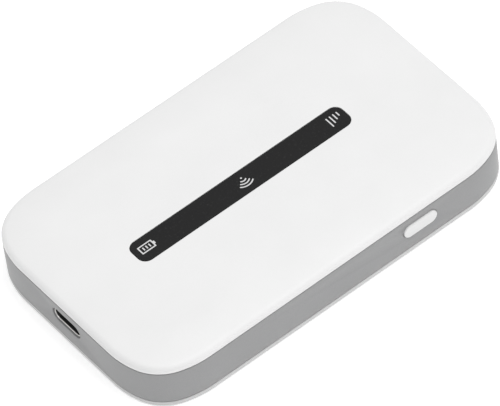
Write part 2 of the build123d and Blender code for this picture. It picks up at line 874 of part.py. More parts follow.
with BuildPart() as battery_contacts:
    with BuildSketch(Plane.YZ.offset(battery_end - contact_size[0])):
        with Locations((0, spring_z)):
            with GridLocations(contact_pitch, 1, contact_count, 1):
                Rectangle(contact_size[1], contact_size[2])
    extrude(amount=contact_size[0])
finish(battery_contacts, "battery_contacts")

with BuildPart() as battery_label:
    block(
        cell_length - 2 * battery_label_margin,
        battery_width - 2 * battery_label_margin,
        battery_bottom,
        cell_bottom,
        cell_middle,
    )
finish(battery_label, "battery_label")

# Battery connector: a block under the board whose springs reach into the bay.
with BuildPart() as battery_connector:
    block(
        connector_size[0],
        connector_size[1],
        chassis_plate_top + lap_clearance,
        board_bottom,
        [(connector_face + connector_size[0] / 2, 0)],
    )
finish(battery_connector, "battery_connector")

spring_middle = connector_face - spring_sheet / 2
spring_radius = spring_middle - battery_end - snug - spring_sheet / 2
with BuildPart() as battery_springs:
    for number in range(contact_count):
        near_side = (number - (contact_count - 1) / 2) * contact_pitch - spring_width / 2
        with BuildSketch(Plane.XZ.offset(-near_side)):
            with BuildLine(mode=Mode.PRIVATE) as bow:
                CenterArc((spring_middle, spring_z), spring_radius, 90, 180)
            SlotArc(bow.edge(), spring_sheet)
        extrude(amount=-spring_width)
finish(battery_springs, "battery_springs")

# ---- Antennas ----

carrier_inset = chassis_wall_inset + chassis_wall + lap_clearance
carrier_top = front_inside - carrier_drop

with BuildPart() as antenna_carrier:
    for inset, start, bottom, top, mode in (
        (carrier_inset, carrier_start, chassis_plate_top, carrier_top, Mode.ADD),
        (
            carrier_inset + carrier_wall,
            carrier_start + carrier_wall,
            chassis_plate_top,
            carrier_top - carrier_wall,
            Mode.SUBTRACT,
        ),
    ):
        with BuildSketch(Plane.XY.offset(bottom)):
            case_outline(inset)
            with Locations((start, 0)):
                Rectangle(length, width, align=(Align.MAX, Align.CENTER), mode=Mode.SUBTRACT)
        extrude(amount=top - bottom, mode=mode)
finish(antenna_carrier, "antenna_carrier")

# Main antenna: a folded copper track on the carrier, with a tab to its spring clip.
track_start = carrier_start + antenna_edge
track_end = half_length - carrier_inset - antenna_edge
antenna_span = width - 2 * antenna_side_room
tooth_pitch = (antenna_span - antenna_track) / (antenna_teeth - 1)
tab_y = (antenna_track - antenna_span) / 2
with BuildPart() as main_antenna:
    with BuildSketch(Plane.XY.offset(carrier_top)):
        with Locations(((track_start + track_end) / 2, 0)):
            with GridLocations(1, tooth_pitch, 1, antenna_teeth):
                Rectangle(track_end - track_start, antenna_track)
        for number in range(antenna_teeth - 1):
            fold_x = (track_end, track_start)[number % 2] + (number % 2 - 0.5) * antenna_track
            with Locations((fold_x, tab_y + (number + 0.5) * tooth_pitch)):
                Rectangle(antenna_track, tooth_pitch)
        with Locations((board_end - antenna_tab_reach, tab_y)):
            Rectangle(
                track_start - board_end + antenna_tab_reach, antenna_track, align=(Align.MIN, Align.CENTER)
            )
    extrude(amount=antenna_sheet)
finish(main_antenna, "main_antenna")

for name, point in (
    ("diversity_antenna", (diversity_patch_x, patch_y)),
    ("wifi_antenna", (wifi_patch_x, -patch_y)),
):
    with BuildPart() as patch:
        block(patch_length, patch_width, front_inside - antenna_sheet, front_inside, [point])
        slot_points = [
            (point[0] + (number - (patch_slots - 1) / 2) * patch_length / patch_slots, point[1])
            for number in range(patch_slots)
        ]
        block(*patch_slot_size, front_inside - antenna_sheet, front_inside, slot_points, Mode.SUBTRACT)
    finish(patch, name)

# Spring clips from the board up to each antenna: folded strips, open at one end.
with BuildPart() as antenna_clips:
    for x, y, top in (
        (board_end - antenna_tab_reach + clip_size[0] / 2, tab_y, carrier_top),
        (diversity_patch_x, patch_y, front_inside - antenna_sheet),
        (wifi_patch_x, -patch_y, front_inside - antenna_sheet),
    ):
        with BuildSketch(Plane.XZ.offset(clip_size[1] / 2 - y)):
            with Locations((x, (board_top + top) / 2)):
                Rectangle(clip_size[0], top - board_top)
            with Locations((x + clip_sheet, (board_top + top) / 2)):
                Rectangle(clip_size[0], top - board_top - 2 * clip_sheet, mode=Mode.SUBTRACT)
        extrude(amount=-clip_size[1])
finish(antenna_clips, "antenna_clips")
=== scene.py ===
"""Pocket mobile hotspot: the looks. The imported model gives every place; sizes are in metres."""
import math

import bmesh
import bpy
from mathutils import Matrix, Vector


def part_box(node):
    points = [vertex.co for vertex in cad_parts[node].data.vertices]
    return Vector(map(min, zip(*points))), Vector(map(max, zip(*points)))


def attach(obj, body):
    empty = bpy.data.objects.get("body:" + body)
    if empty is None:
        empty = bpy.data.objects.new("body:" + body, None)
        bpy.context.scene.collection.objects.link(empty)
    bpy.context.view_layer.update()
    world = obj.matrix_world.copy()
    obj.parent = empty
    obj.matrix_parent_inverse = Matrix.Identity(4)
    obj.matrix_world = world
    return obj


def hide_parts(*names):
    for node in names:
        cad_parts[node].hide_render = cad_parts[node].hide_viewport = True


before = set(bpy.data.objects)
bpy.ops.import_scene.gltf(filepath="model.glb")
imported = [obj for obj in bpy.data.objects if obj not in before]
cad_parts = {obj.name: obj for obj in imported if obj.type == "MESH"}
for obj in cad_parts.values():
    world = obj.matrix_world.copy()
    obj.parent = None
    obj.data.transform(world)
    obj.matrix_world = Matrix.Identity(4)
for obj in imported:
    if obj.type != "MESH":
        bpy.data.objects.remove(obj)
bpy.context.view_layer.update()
mm = 0.001

# ---- Studio ----
# The hotspot lies on a white sweep under one broad ceiling softbox, with a softer one low on the
# button's side, and it is seen through a very long lens from above the socket's corner.
scene = bpy.context.scene
scene.view_settings.view_transform = "Standard"
camera_data = bpy.data.cameras.new("portrait_camera")
camera_data.lens = 471.9
camera_data.sensor_width = 36.0
camera_data.clip_start = 0.05
camera_data.clip_end = 20.0
camera = bpy.data.objects.new("portrait_camera", camera_data)
scene.collection.objects.link(camera)
azimuth, elevation, roll = math.radians(-32.68), math.radians(50.16), math.radians(-8.14)
aim = Vector((-1.0, -0.84, 6.6)) * mm
distance = 1389.8 * mm
towards_camera = Vector((
    math.sin(azimuth) * math.cos(elevation),
    -math.cos(azimuth) * math.cos(elevation),
    math.sin(elevation),
))
facing = (-towards_camera).to_track_quat("-Z", "Y").to_matrix() @ Matrix.Rotation(roll, 3, "Z")
camera.matrix_world = Matrix.Translation(aim + towards_camera * distance) @ facing.to_4x4()
scene.camera = camera


def softbox(name, place, width, depth, power, target=(0, 0, 0)):
    """A rectangular area light that faces a point on the table."""
    lamp = bpy.data.lights.new(name, "AREA")
    lamp.shape = "RECTANGLE"
    lamp.size, lamp.size_y, lamp.energy = width, depth, power
    stand = bpy.data.objects.new(name, lamp)
    stand.location = place
    stand.rotation_mode = "QUATERNION"
    stand.rotation_quaternion = (Vector(target) - Vector(place)).to_track_quat("-Z", "Y")
    scene.collection.objects.link(stand)


softbox("ceiling_softbox", (0.14, -0.10, 1.1), 1.2, 1.0, 9.8)
softbox("button_side_softbox", (0.3, -1.2, 0.25), 0.9, 0.4, 1.0)
world = bpy.data.worlds.new("studio_walls")
scene.world = world
world.use_nodes = True
world.node_tree.nodes["Background"].inputs["Color"].default_value = (1, 1, 1, 1)
world.node_tree.nodes["Background"].inputs["Strength"].default_value = 0.5


def add(tree, kind, sockets=None, **settings):
    """A shader node with its settings and with each named socket given a value or a link."""
    node = tree.nodes.new(kind)
    for name, value in settings.items():
        setattr(node, name, value)
    for name, value in (sockets or {}).items():
        if isinstance(value, bpy.types.NodeSocket):
            tree.links.new(value, node.inputs[name])
        else:
            node.inputs[name].default_value = value
    return node


def new_material(name):
    """A material with an empty Principled shader, its tree and its shader."""
    material = bpy.data.materials.new(name)
    material.use_nodes = True
    return material, material.node_tree, material.node_tree.nodes["Principled BSDF"]


def feed(shader, socket, source):
    """Links a source into one of a shader's sockets."""
    shader.id_data.links.new(source, shader.inputs[socket])


def shade(tree, mask, low, high):
    """A value that runs from low to high with a mask."""
    return add(tree, "ShaderNodeMapRange", {"Value": mask, "To Min": low, "To Max": high}).outputs[0]


def tint(tree, mask, base, other):
    """A colour that runs from base to other with a mask. Either may be a colour or a socket."""
    mix = add(tree, "ShaderNodeMix", data_type="RGBA", clamp_factor=True)
    for slot_number, value in ((0, mask), (6, base), (7, other)):
        if isinstance(value, bpy.types.NodeSocket):
            tree.links.new(value, mix.inputs[slot_number])
        elif slot_number == 0:
            mix.inputs[0].default_value = value
        else:
            mix.inputs[slot_number].default_value = (*value, 1)
    return mix.outputs[2]


paper, tree, shader = new_material("sweep_paper")
cloud = add(tree, "ShaderNodeTexNoise", {"Scale": 9.0, "Detail": 3.0})
feed(shader, "Base Color", tint(tree, cloud.outputs["Fac"], (0.93, 0.93, 0.93), (0.96, 0.96, 0.96)))
shader.inputs["Roughness"].default_value = 0.9
shader.inputs["Specular IOR Level"].default_value = 0.1
shader.inputs["Emission Color"].default_value = (1, 1, 1, 1)
shader.inputs["Emission Strength"].default_value = 0.31
# The sweep has no back, so the underside shows from below.
one_sided = add(tree, "ShaderNodeMixShader", {
    0: add(tree, "ShaderNodeNewGeometry").outputs["Backfacing"],
    1: shader.outputs["BSDF"],
    2: add(tree, "ShaderNodeBsdfTransparent").outputs["BSDF"],
})
tree.links.new(one_sided.outputs[0], tree.nodes["Material Output"].inputs["Surface"])
bpy.ops.mesh.primitive_plane_add(size=6, location=(0, 0, -0.02 * mm))
sweep = bpy.context.object
sweep.name = "white_sweep"
sweep.data.materials.append(paper)

# ---- Front cover ----
# One white injection-moulded shell with a fine spark-eroded grain. Its face is very slightly
# pillowed towards the edge, and a lip and six hollow posts stand inside it for the screws.


def new_effect(name, inputs, outputs):
    """An empty shader node group with float inputs and float outputs."""
    group = bpy.data.node_groups.new(name, "ShaderNodeTree")
    for label, value in inputs:
        group.interface.new_socket(label, in_out="INPUT", socket_type="NodeSocketFloat").default_value = value
    for label in outputs:
        group.interface.new_socket(label, in_out="OUTPUT", socket_type="NodeSocketFloat")
    return group, group.nodes.new("NodeGroupInput"), group.nodes.new("NodeGroupOutput")


def own_place(tree):
    """Each point's place on the object."""
    return add(tree, "ShaderNodeTexCoord").outputs["Object"]


def upwards(tree):
    """How far the surface faces up, from -1 to 1."""
    normal = add(tree, "ShaderNodeNewGeometry").outputs["Normal"]
    return add(tree, "ShaderNodeSeparateXYZ", {0: normal}).outputs["Z"]


def ramp(tree, value, start, stop):
    """0 where a value is at start, 1 where it is at stop, and level beyond them."""
    return add(tree, "ShaderNodeMapRange", {"Value": value, "From Min": start, "From Max": stop}).outputs[0]


def relief(tree, shader, height, distance, strength=1.0):
    """A bump on a shader's surface, this far from its lowest to its highest point."""
    bump = add(tree, "ShaderNodeBump", {"Height": height, "Distance": distance, "Strength": strength})
    feed(shader, "Normal", bump.outputs[0])


def reading(tree, operation, first, second=None):
    """The result of a Math node."""
    node = add(tree, "ShaderNodeMath", operation=operation)
    for number, value in enumerate((first, second)):
        if isinstance(value, bpy.types.NodeSocket):
            tree.links.new(value, node.inputs[number])
        elif value is not None:
            node.inputs[number].default_value = value
    return node.outputs[0]


# Every moulded or painted piece shows a fine eroded grain, edges that handling has rubbed, and a
# little dust lying on what faces up.
grain, taken, given = new_effect(
    "moulded_grain", (("Grain Size", 0.00012), ("Cloud Size", 0.012)), ("Height", "Cloud")
)
place = own_place(grain)
fine = add(grain, "ShaderNodeTexNoise", {
    "Vector": place, "Scale": reading(grain, "DIVIDE", 1.0, taken.outputs["Grain Size"]), "Detail": 2.0,
})
broad = add(grain, "ShaderNodeTexNoise", {
    "Vector": place, "Scale": reading(grain, "DIVIDE", 1.0, taken.outputs["Cloud Size"]), "Detail": 4.0,
})
grain.links.new(fine.outputs["Fac"], given.inputs["Height"])
grain.links.new(broad.outputs["Fac"], given.inputs["Cloud"])

wear, taken, given = new_effect("rubbed_edges", (("Reach", 0.0003), ("Patch Size", 0.004)), ("Mask",))
rounded = add(wear, "ShaderNodeBevel", {"Radius": taken.outputs["Reach"]}, samples=6)
true_normal = add(wear, "ShaderNodeNewGeometry").outputs["Normal"]
turned = add(wear, "ShaderNodeVectorMath", {0: rounded.outputs[0], 1: true_normal}, operation="DOT_PRODUCT")
edge = ramp(wear, turned.outputs["Value"], 0.995, 0.85)
patch = add(wear, "ShaderNodeTexNoise", {
    "Vector": own_place(wear),
    "Scale": reading(wear, "DIVIDE", 1.0, taken.outputs["Patch Size"]), "Detail": 3.0,
})
patchy = ramp(wear, patch.outputs["Fac"], 0.4, 0.62)
wear.links.new(reading(wear, "MULTIPLY", edge, patchy), given.inputs["Mask"])

dust, taken, given = new_effect("settled_dust", (("Speck Size", 0.0006), ("Amount", 0.5)), ("Mask",))
specks = add(dust, "ShaderNodeTexNoise", {
    "Vector": own_place(dust),
    "Scale": reading(dust, "DIVIDE", 1.0, taken.outputs["Speck Size"]), "Detail": 5.0, "Roughness": 0.7,
})
thin = ramp(dust, specks.outputs["Fac"], 0.56, 0.74)
lying = ramp(dust, upwards(dust), 0.3, 0.95)
film = reading(dust, "MULTIPLY", thin, lying)
dust.links.new(reading(dust, "MULTIPLY", film, taken.outputs["Amount"]), given.inputs["Mask"])


def effect(tree, group, **values):
    """A copy of a shared effect in a material, with its own values."""
    node = add(tree, "ShaderNodeGroup", node_tree=group)
    for name, value in values.items():
        node.inputs[name.replace("_", " ")].default_value = value
    return node


def moulded(name, colour, rubbed, rough, grain_size, depth, cloud_size=0.012, dusty=0.3, reach=0.0003):
    """Moulded plastic: eroded grain, faint clouds of colour, rubbed edges and dust."""
    material, tree, shader = new_material(name)
    texture = effect(tree, grain, Grain_Size=grain_size, Cloud_Size=cloud_size)
    rubbing = effect(tree, wear, Reach=reach)
    lint = effect(tree, dust, Amount=dusty)
    darker = tuple(0.94 * channel for channel in colour)
    clouded = tint(tree, texture.outputs["Cloud"], darker, colour)
    worn = tint(tree, rubbing.outputs["Mask"], clouded, rubbed)
    dusted = tint(tree, lint.outputs["Mask"], worn, (0.62, 0.61, 0.59))
    feed(shader, "Base Color", dusted)
    speckle = reading(tree, "MULTIPLY", texture.outputs["Height"], texture.outputs["Cloud"])
    smooth = shade(tree, speckle, rough + 0.06, rough - 0.06)
    polished = reading(tree, "SUBTRACT", smooth, reading(tree, "MULTIPLY", rubbing.outputs["Mask"], 0.12))
    feed(shader, "Roughness", polished)
    relief(tree, shader, texture.outputs["Height"], depth)
    return material

case_end, case_side, frame_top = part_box("side_frame")[1]
corner_side_radius = 21.6 * mm
corner_nose_radius = 11.05 * mm
corner_side_turn = 19.75
side_wall = 1.6 * mm


def case_ring(mesh, inset, z):
    """Points round the case's plan, drawn this far inside its edge. Every corner is three arcs."""
    end, side = case_end - inset, case_side - inset
    long_arc, nose_arc = corner_side_radius - inset, corner_nose_radius - inset
    turn = math.radians(corner_side_turn)
    step = long_arc - nose_arc
    reach = long_arc + step * (math.sin(turn) - math.cos(turn))
    nose = reach - step * math.sin(turn)
    quarter = []
    for x, y, radius, start, stop, steps in (
        (end - reach, side - long_arc, long_arc, 90, 90 - corner_side_turn, 6),
        (end - nose, side - nose, nose_arc, 90 - corner_side_turn, corner_side_turn, 16),
        (end - long_arc, side - reach, long_arc, corner_side_turn, 0, 6),
    ):
        for number in range(1 if quarter else 0, steps + 1):
            angle = math.radians(start + (stop - start) * number / steps)
            quarter.append((x + radius * math.cos(angle), y + radius * math.sin(angle)))
    half = quarter + [(x, -y) for x, y in reversed(quarter)]
    whole = half + [(-x, y) for x, y in reversed(half)]
    return [mesh.verts.new((x, y, z)) for x, y in whole]


def skin(mesh, rings, closed=False):
    """Four-sided faces between each ring and the next, and back to the first if it is closed."""
    following = rings[1:] + rings[:1] if closed else rings[1:]
    for lower, upper in zip(rings, following):
        for number in range(len(lower)):
            after = (number + 1) % len(lower)
            mesh.faces.new((lower[number], lower[after], upper[after], upper[number]))


def fill(mesh, *loops):
    """A flat face inside the first loop and outside the others."""
    edges = []
    for loop in loops:
        for number, vert in enumerate(loop):
            after = loop[(number + 1) % len(loop)]
            edges.append(mesh.edges.get((vert, after)) or mesh.edges.new((vert, after)))
    bmesh.ops.triangle_fill(mesh, use_beauty=True, use_dissolve=False, edges=edges)


def rounded_ring(mesh, middle, length, width, radius, z, steps=6):
    """Points round a rectangle with rounded corners."""
    points = []
    for corner, (side_x, side_y) in enumerate(((1, 1), (-1, 1), (-1, -1), (1, -1))):
        for number in range(steps + 1):
            angle = math.radians(90 * (corner + number / steps))
            x = middle[0] + side_x * (length / 2 - radius) + radius * math.cos(angle)
            y = middle[1] + side_y * (width / 2 - radius) + radius * math.sin(angle)
            points.append(mesh.verts.new((x, y, z)))
    return points


def middle_of(low, high):
    """The middle of a box's plan."""
    return (low.x + high.x) / 2, (low.y + high.y) / 2


def cap_ends(mesh, rings):
    """One face over each end of a row of rings."""
    mesh.faces.new(rings[0])
    mesh.faces.new(rings[-1])


def sheen(piece, angle=32):
    """Smooth shading that breaks at real edges."""
    piece.data.shade_smooth()
    piece.data.set_sharp_from_angle(angle=math.radians(angle))


def make_piece(mesh, name, *materials):
    """A finished object from a bmesh, closed and facing outwards."""
    bmesh.ops.remove_doubles(mesh, verts=mesh.verts, dist=1e-7)
    bmesh.ops.recalc_face_normals(mesh, faces=mesh.faces)
    data = bpy.data.meshes.new(name)
    mesh.to_mesh(data)
    mesh.free()
    piece = bpy.data.objects.new(name, data)
    scene.collection.objects.link(piece)
    for material in materials:
        data.materials.append(material)
    sheen(piece)
    return piece


def stands_for(piece, node, body):
    """The piece rides on a body and stands for a node, whose own mesh is hidden."""
    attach(piece, body)
    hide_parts(node)


def join(name, pieces):
    """One object from several."""
    with bpy.context.temp_override(active_object=pieces[0], selected_editable_objects=pieces):
        bpy.ops.object.join()
    pieces[0].name = name
    return pieces[0]


white_plastic = moulded(
    "white_shell_plastic", (0.80, 0.80, 0.80), (0.86, 0.86, 0.855), 0.46, 0.00016, 0.000012, dusty=0.10
)
cover_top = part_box("front_cover")[1].z
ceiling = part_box("heat_spreader")[1].z
tape_low, tape_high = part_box("window_tape")
seam_gap = 0.1 * mm
skirt_bottom = frame_top + seam_gap
edge_round, edge_rise = 1.55 * mm, 1.22 * mm
edge_turn = 81.6
pillow_width = 8.4 * mm
cover = bmesh.new()
skirt_rows = [
    (side_wall, ceiling), (side_wall, skirt_bottom), (0.2 * mm, skirt_bottom),
    (0.06 * mm, skirt_bottom + 0.06 * mm),
    (0, skirt_bottom + 0.2 * mm),
]
pillow_drop = 0.48 * mm
round_start = cover_top - edge_rise - pillow_drop
for number in range(11):
    angle = math.radians(edge_turn * number / 10)
    skirt_rows.append((edge_round * (1 - math.cos(angle)), round_start + edge_rise * math.sin(angle)))
pillow_inset, pillow_low = skirt_rows[-1]
for number in range(1, 9):
    share = number / 8
    skirt_rows.append(
        (pillow_inset + pillow_width * share, cover_top - (cover_top - pillow_low) * (1 - share) ** 2)
    )
skirt_rows.append((skirt_rows[-1][0] + 0.4 * mm, cover_top))
rings = [case_ring(cover, inset, z) for inset, z in skirt_rows]
skin(cover, rings)
window_middle = middle_of(tape_low, tape_high)
window_fit, window_corner = 0.06 * mm, 2.12 * mm
recess_rings = []
for grow, z in (
    (0.3 * mm, cover_top), (0.03 * mm, cover_top), (0.009 * mm, cover_top - 0.009 * mm),
    (0, cover_top - 0.03 * mm),
    (0, tape_low.z),
):
    recess_rings.append(rounded_ring(
        cover,
        window_middle,
        tape_high.x - tape_low.x + 2 * (window_fit + grow),
        tape_high.y - tape_low.y + 2 * (window_fit + grow),
        window_corner + window_fit + grow,
        z,
        8,
    ))
skin(cover, recess_rings)
fill(cover, rings[-1], recess_rings[0])
guide_fit = 0.12 * mm
floor_holes, ceiling_holes = [], []
for icon in ("battery", "wifi", "signal"):
    low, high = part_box(f"light_guide_{icon}")
    middle = middle_of(low, high)
    flange = 0.6 * mm
    opening = (high.x - low.x + 2 * (guide_fit - flange), high.y - low.y + 2 * (guide_fit - flange), 0.2 * mm)
    upper = rounded_ring(cover, middle, *opening, tape_low.z, 2)
    lower = rounded_ring(cover, middle, *opening, ceiling, 2)
    skin(cover, [upper, lower])
    floor_holes.append(upper)
    ceiling_holes.append(lower)
fill(cover, recess_rings[-1], *floor_holes)
fill(cover, rings[0], *ceiling_holes)
cover_shell = make_piece(cover, "front_cover_shell", white_plastic)

lip_outer, lip_inner, lip_bottom = 1.75 * mm, 2.55 * mm, ceiling - 1.7 * mm
lip_mesh = bmesh.new()
lip_rows = (
    (lip_outer, ceiling), (lip_outer, lip_bottom + 0.2 * mm), (lip_outer + 0.2 * mm, lip_bottom),
    (lip_inner - 0.1 * mm, lip_bottom), (lip_inner, lip_bottom + 0.1 * mm), (lip_inner, ceiling),
)
skin(lip_mesh, [case_ring(lip_mesh, inset, z) for inset, z in lip_rows], closed=True)
cover_lip = make_piece(lip_mesh, "front_cover_lip", white_plastic)


def lathe(mesh, profile, steps=32, middle=(0, 0)):
    """A turned shape from (radius, height) rows; its open ends are left for the caller to close."""
    rings = []
    for radius, z in profile:
        rings.append([
            mesh.verts.new((
                middle[0] + radius * math.cos(math.tau * number / steps),
                middle[1] + radius * math.sin(math.tau * number / steps),
                z,
            ))
            for number in range(steps)
        ])
    skin(mesh, rings)
    return rings


def new_shaper(name, start, inputs):
    """A Geometry Nodes tree that starts from one geometry, with its inputs and its finish."""
    tree = bpy.data.node_groups.new(name, "GeometryNodeTree")
    sockets = tree.interface.new_socket
    sockets(start, in_out="INPUT", socket_type="NodeSocketGeometry")
    for label, kind, value in (*inputs, ("Finish", "Material", None)):
        socket = sockets(label, in_out="INPUT", socket_type="NodeSocket" + kind)
        if value is not None:
            socket.default_value = value
    sockets("Geometry", in_out="OUTPUT", socket_type="NodeSocketGeometry")
    return tree, tree.nodes.new("NodeGroupInput")


def end_shaper(tree, taken, shape):
    """Ends a tree as plain geometry in its finish."""
    plain = add(tree, "GeometryNodeRealizeInstances", {"Geometry": shape})
    coloured = add(tree, "GeometryNodeSetMaterial", {
        "Geometry": plain.outputs[0], "Material": taken.outputs["Finish"],
    })
    tree.links.new(coloured.outputs[0], tree.nodes.new("NodeGroupOutput").inputs["Geometry"])
    return tree


def shaped(data, tree, chosen):
    """The plain mesh that a tree makes from a mesh, with the chosen inputs."""
    holder = bpy.data.objects.new(data.name, data)
    scene.collection.objects.link(holder)
    modifier = holder.modifiers.new("shaper", "NODES")
    modifier.node_group = tree
    for item in tree.interface.items_tree:
        if item.in_out == "INPUT" and item.name in chosen:
            modifier[item.identifier] = chosen[item.name]
    result = bpy.data.meshes.new_from_object(holder.evaluated_get(bpy.context.evaluated_depsgraph_get()))
    bpy.data.objects.remove(holder)
    return result


def new_layout():
    """A tree that sets a copy of a piece on every point, each turned a little by chance."""
    tree, taken = new_shaper("set_out_copies", "Points", (
        ("Copy", "Object", None), ("Largest Turn", "Float", 0.0), ("Seed", "Int", 1),
    ))
    source = add(tree, "GeometryNodeObjectInfo", {"Object": taken.outputs["Copy"]})
    opposite = add(tree, "ShaderNodeMath", {0: taken.outputs["Largest Turn"], 1: -1.0}, operation="MULTIPLY")
    chance = add(tree, "FunctionNodeRandomValue", {"Seed": taken.outputs["Seed"]}, data_type="FLOAT")
    tree.links.new(opposite.outputs[0], chance.inputs[2])
    tree.links.new(taken.outputs["Largest Turn"], chance.inputs[3])
    spun = add(tree, "ShaderNodeCombineXYZ", {"Z": chance.outputs[1]})
    copies = add(tree, "GeometryNodeInstanceOnPoints", {
        "Points": taken.outputs["Points"], "Instance": source.outputs["Geometry"],
        "Rotation": spun.outputs[0],
    })
    return end_shaper(tree, taken, copies.outputs[0])


layout = new_layout()


def set_out(name, copy, points, finish, largest_turn=0.0, seed=1):
    """A plain mesh made of copies of a piece, one on each point. The pattern piece is used up."""
    data = bpy.data.meshes.new(name + "_points")
    data.from_pydata([tuple(point) for point in points], [], [])
    chosen = {"Copy": copy, "Finish": finish, "Largest Turn": largest_turn, "Seed": seed}
    result = shaped(data, layout, chosen)
    result.name = name
    bpy.data.objects.remove(copy)
    piece = bpy.data.objects.new(name, result)
    scene.collection.objects.link(piece)
    sheen(piece)
    return piece


post_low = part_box("main_board")[1].z
post_mesh = bmesh.new()
post_rings = lathe(post_mesh, (
    (2.2 * mm, ceiling), (2.2 * mm, post_low + 0.15 * mm), (2.05 * mm, post_low), (0.85 * mm, post_low),
    (0.72 * mm, post_low + 0.13 * mm), (0.72 * mm, ceiling),
))
skin(post_mesh, [post_rings[-1], post_rings[0]])
screw_low, screw_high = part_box("chassis_screws")
screw_head = 1.25 * mm
screw_places = []
for x, y in (
    (screw_low.x + screw_head, 16.0 * mm),
    (-8.0 * mm, screw_high.y - screw_head),
    (screw_high.x - screw_head, 20.0 * mm),
):
    screw_places += [(x, y, 0), (x, -y, 0)]
cover_posts = set_out(
    "front_cover_posts", make_piece(post_mesh, "post", white_plastic), screw_places, white_plastic
)
front_cover = join("front_cover_moulding", [cover_shell, cover_lip, cover_posts])
stands_for(front_cover, "front_cover", "case")

# ---- Status window and its lights ----
# A smoked strip is stuck into the cover's recess with a foam tape. Clear inlays make the icons, and
# under each one a clear guide stands in its own cell of a black shield, over two small yellow lights.


def coat(material, *nodes):
    """Gives carried-over nodes a finish."""
    for node in nodes:
        for material_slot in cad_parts[node].material_slots:
            material_slot.material = material


smoked, tree, shader = new_material("smoked_window")
texture = effect(tree, grain, Grain_Size=0.00022, Cloud_Size=0.02)
rubbing = effect(tree, wear, Reach=0.00015, Patch_Size=0.006)
lint = effect(tree, dust, Amount=0.035, Speck_Size=0.0005)
clouded = tint(tree, texture.outputs["Cloud"], (0.0125, 0.0125, 0.0128), (0.0155, 0.0155, 0.0157))
worn = tint(tree, rubbing.outputs["Mask"], clouded, (0.03, 0.03, 0.03))
feed(shader, "Base Color", tint(tree, lint.outputs["Mask"], worn, (0.5, 0.5, 0.49)))
feed(shader, "Roughness", shade(tree, texture.outputs["Cloud"], 0.30, 0.38))
relief(tree, shader, texture.outputs["Height"], 0.000003, 0.6)
shader.inputs["Specular IOR Level"].default_value = 0.15
coat(smoked, "status_window")

coat(
    moulded("icon_inlay", (0.66, 0.66, 0.66), (0.72, 0.72, 0.72), 0.40, 0.0001, 0.000004, dusty=0.05, reach=0.0001),
    "status_icons",
)
coat(
    moulded("window_foam_tape", (0.018, 0.018, 0.019), (0.03, 0.03, 0.03), 0.85, 0.00009, 0.00002, dusty=0.0),
    "window_tape",
)
coat(
    moulded("light_shield_plastic", (0.012, 0.012, 0.013), (0.03, 0.03, 0.03), 0.62, 0.0001, 0.00001, dusty=0.1),
    "light_shield",
)

clear, tree, shader = new_material("clear_guide_acrylic")
texture = effect(tree, grain, Grain_Size=0.0004, Cloud_Size=0.004)
feed(shader, "Base Color", tint(tree, texture.outputs["Cloud"], (0.86, 0.88, 0.89), (0.94, 0.95, 0.95)))
feed(shader, "Roughness", shade(tree, texture.outputs["Height"], 0.12, 0.3))
relief(tree, shader, texture.outputs["Height"], 0.000006)
shader.inputs["IOR"].default_value = 1.49
shader.inputs["Transmission Weight"].default_value = 0.9
coat(clear, "light_guide_battery", "light_guide_wifi", "light_guide_signal")

lamp_yellow, tree, shader = new_material("yellow_lamp_resin")
texture = effect(tree, grain, Grain_Size=0.00005, Cloud_Size=0.0006)
feed(shader, "Base Color", tint(tree, texture.outputs["Cloud"], (0.62, 0.43, 0.05), (0.84, 0.66, 0.16)))
feed(shader, "Roughness", shade(tree, texture.outputs["Height"], 0.25, 0.45))
relief(tree, shader, texture.outputs["Height"], 0.000006)
coat(lamp_yellow, "status_leds")

# ---- Side frame ----
# A silver-painted ring between the two covers, moulded with a ledge that the chassis is screwed up
# against. The socket's opening and the button's are cut through it with softened mouths.


def swept_wall():
    """A tree that sweeps a rounded wall round a closed path on the wall's outside."""
    tree, taken = new_shaper("swept_wall", "Path", (
        ("Wall", "Float", 0.0016), ("Bottom", "Float", 0.001), ("Top", "Float", 0.01),
        ("Edge Round", "Float", 0.0001),
    ))
    path = add(tree, "GeometryNodeMeshToCurve", {"Mesh": taken.outputs["Path"]})
    upright = add(tree, "GeometryNodeSetCurveNormal", {"Curve": path.outputs[0]}, mode="Z_UP")
    height = reading(tree, "SUBTRACT", taken.outputs["Top"], taken.outputs["Bottom"])
    section = add(tree, "GeometryNodeCurvePrimitiveQuadrilateral", {
        "Width": taken.outputs["Wall"], "Height": height,
    })
    softened = add(tree, "GeometryNodeFilletCurve", {
        "Curve": section.outputs[0], "Radius": taken.outputs["Edge Round"], "Count": 3,
    }, mode="POLY")
    middle = reading(
        tree, "MULTIPLY", reading(tree, "ADD", taken.outputs["Top"], taken.outputs["Bottom"]), -0.5
    )
    inwards = reading(tree, "MULTIPLY", taken.outputs["Wall"], 0.5)
    shift = add(tree, "ShaderNodeCombineXYZ", {"X": inwards, "Y": middle})
    placed = add(
        tree, "GeometryNodeTransform", {"Geometry": softened.outputs[0], "Translation": shift.outputs[0]}
    )
    wall = add(
        tree, "GeometryNodeCurveToMesh", {"Curve": upright.outputs[0], "Profile Curve": placed.outputs[0]}
    )
    return end_shaper(tree, taken, wall.outputs[0])


def ring_wall(name, tree, inset, **sizes):
    """A plain mesh swept round the case's plan by the tree."""
    path = bmesh.new()
    loop = case_ring(path, inset, 0)
    for number, vert in enumerate(loop):
        path.edges.new((vert, loop[(number + 1) % len(loop)]))
    data = bpy.data.meshes.new(name + "_path")
    path.to_mesh(data)
    path.free()
    result = shaped(data, tree, {size.replace("_", " "): value for size, value in sizes.items()})
    swept = bmesh.new()
    swept.from_mesh(result)
    bpy.data.meshes.remove(result)
    return make_piece(swept, name, sizes["Finish"])


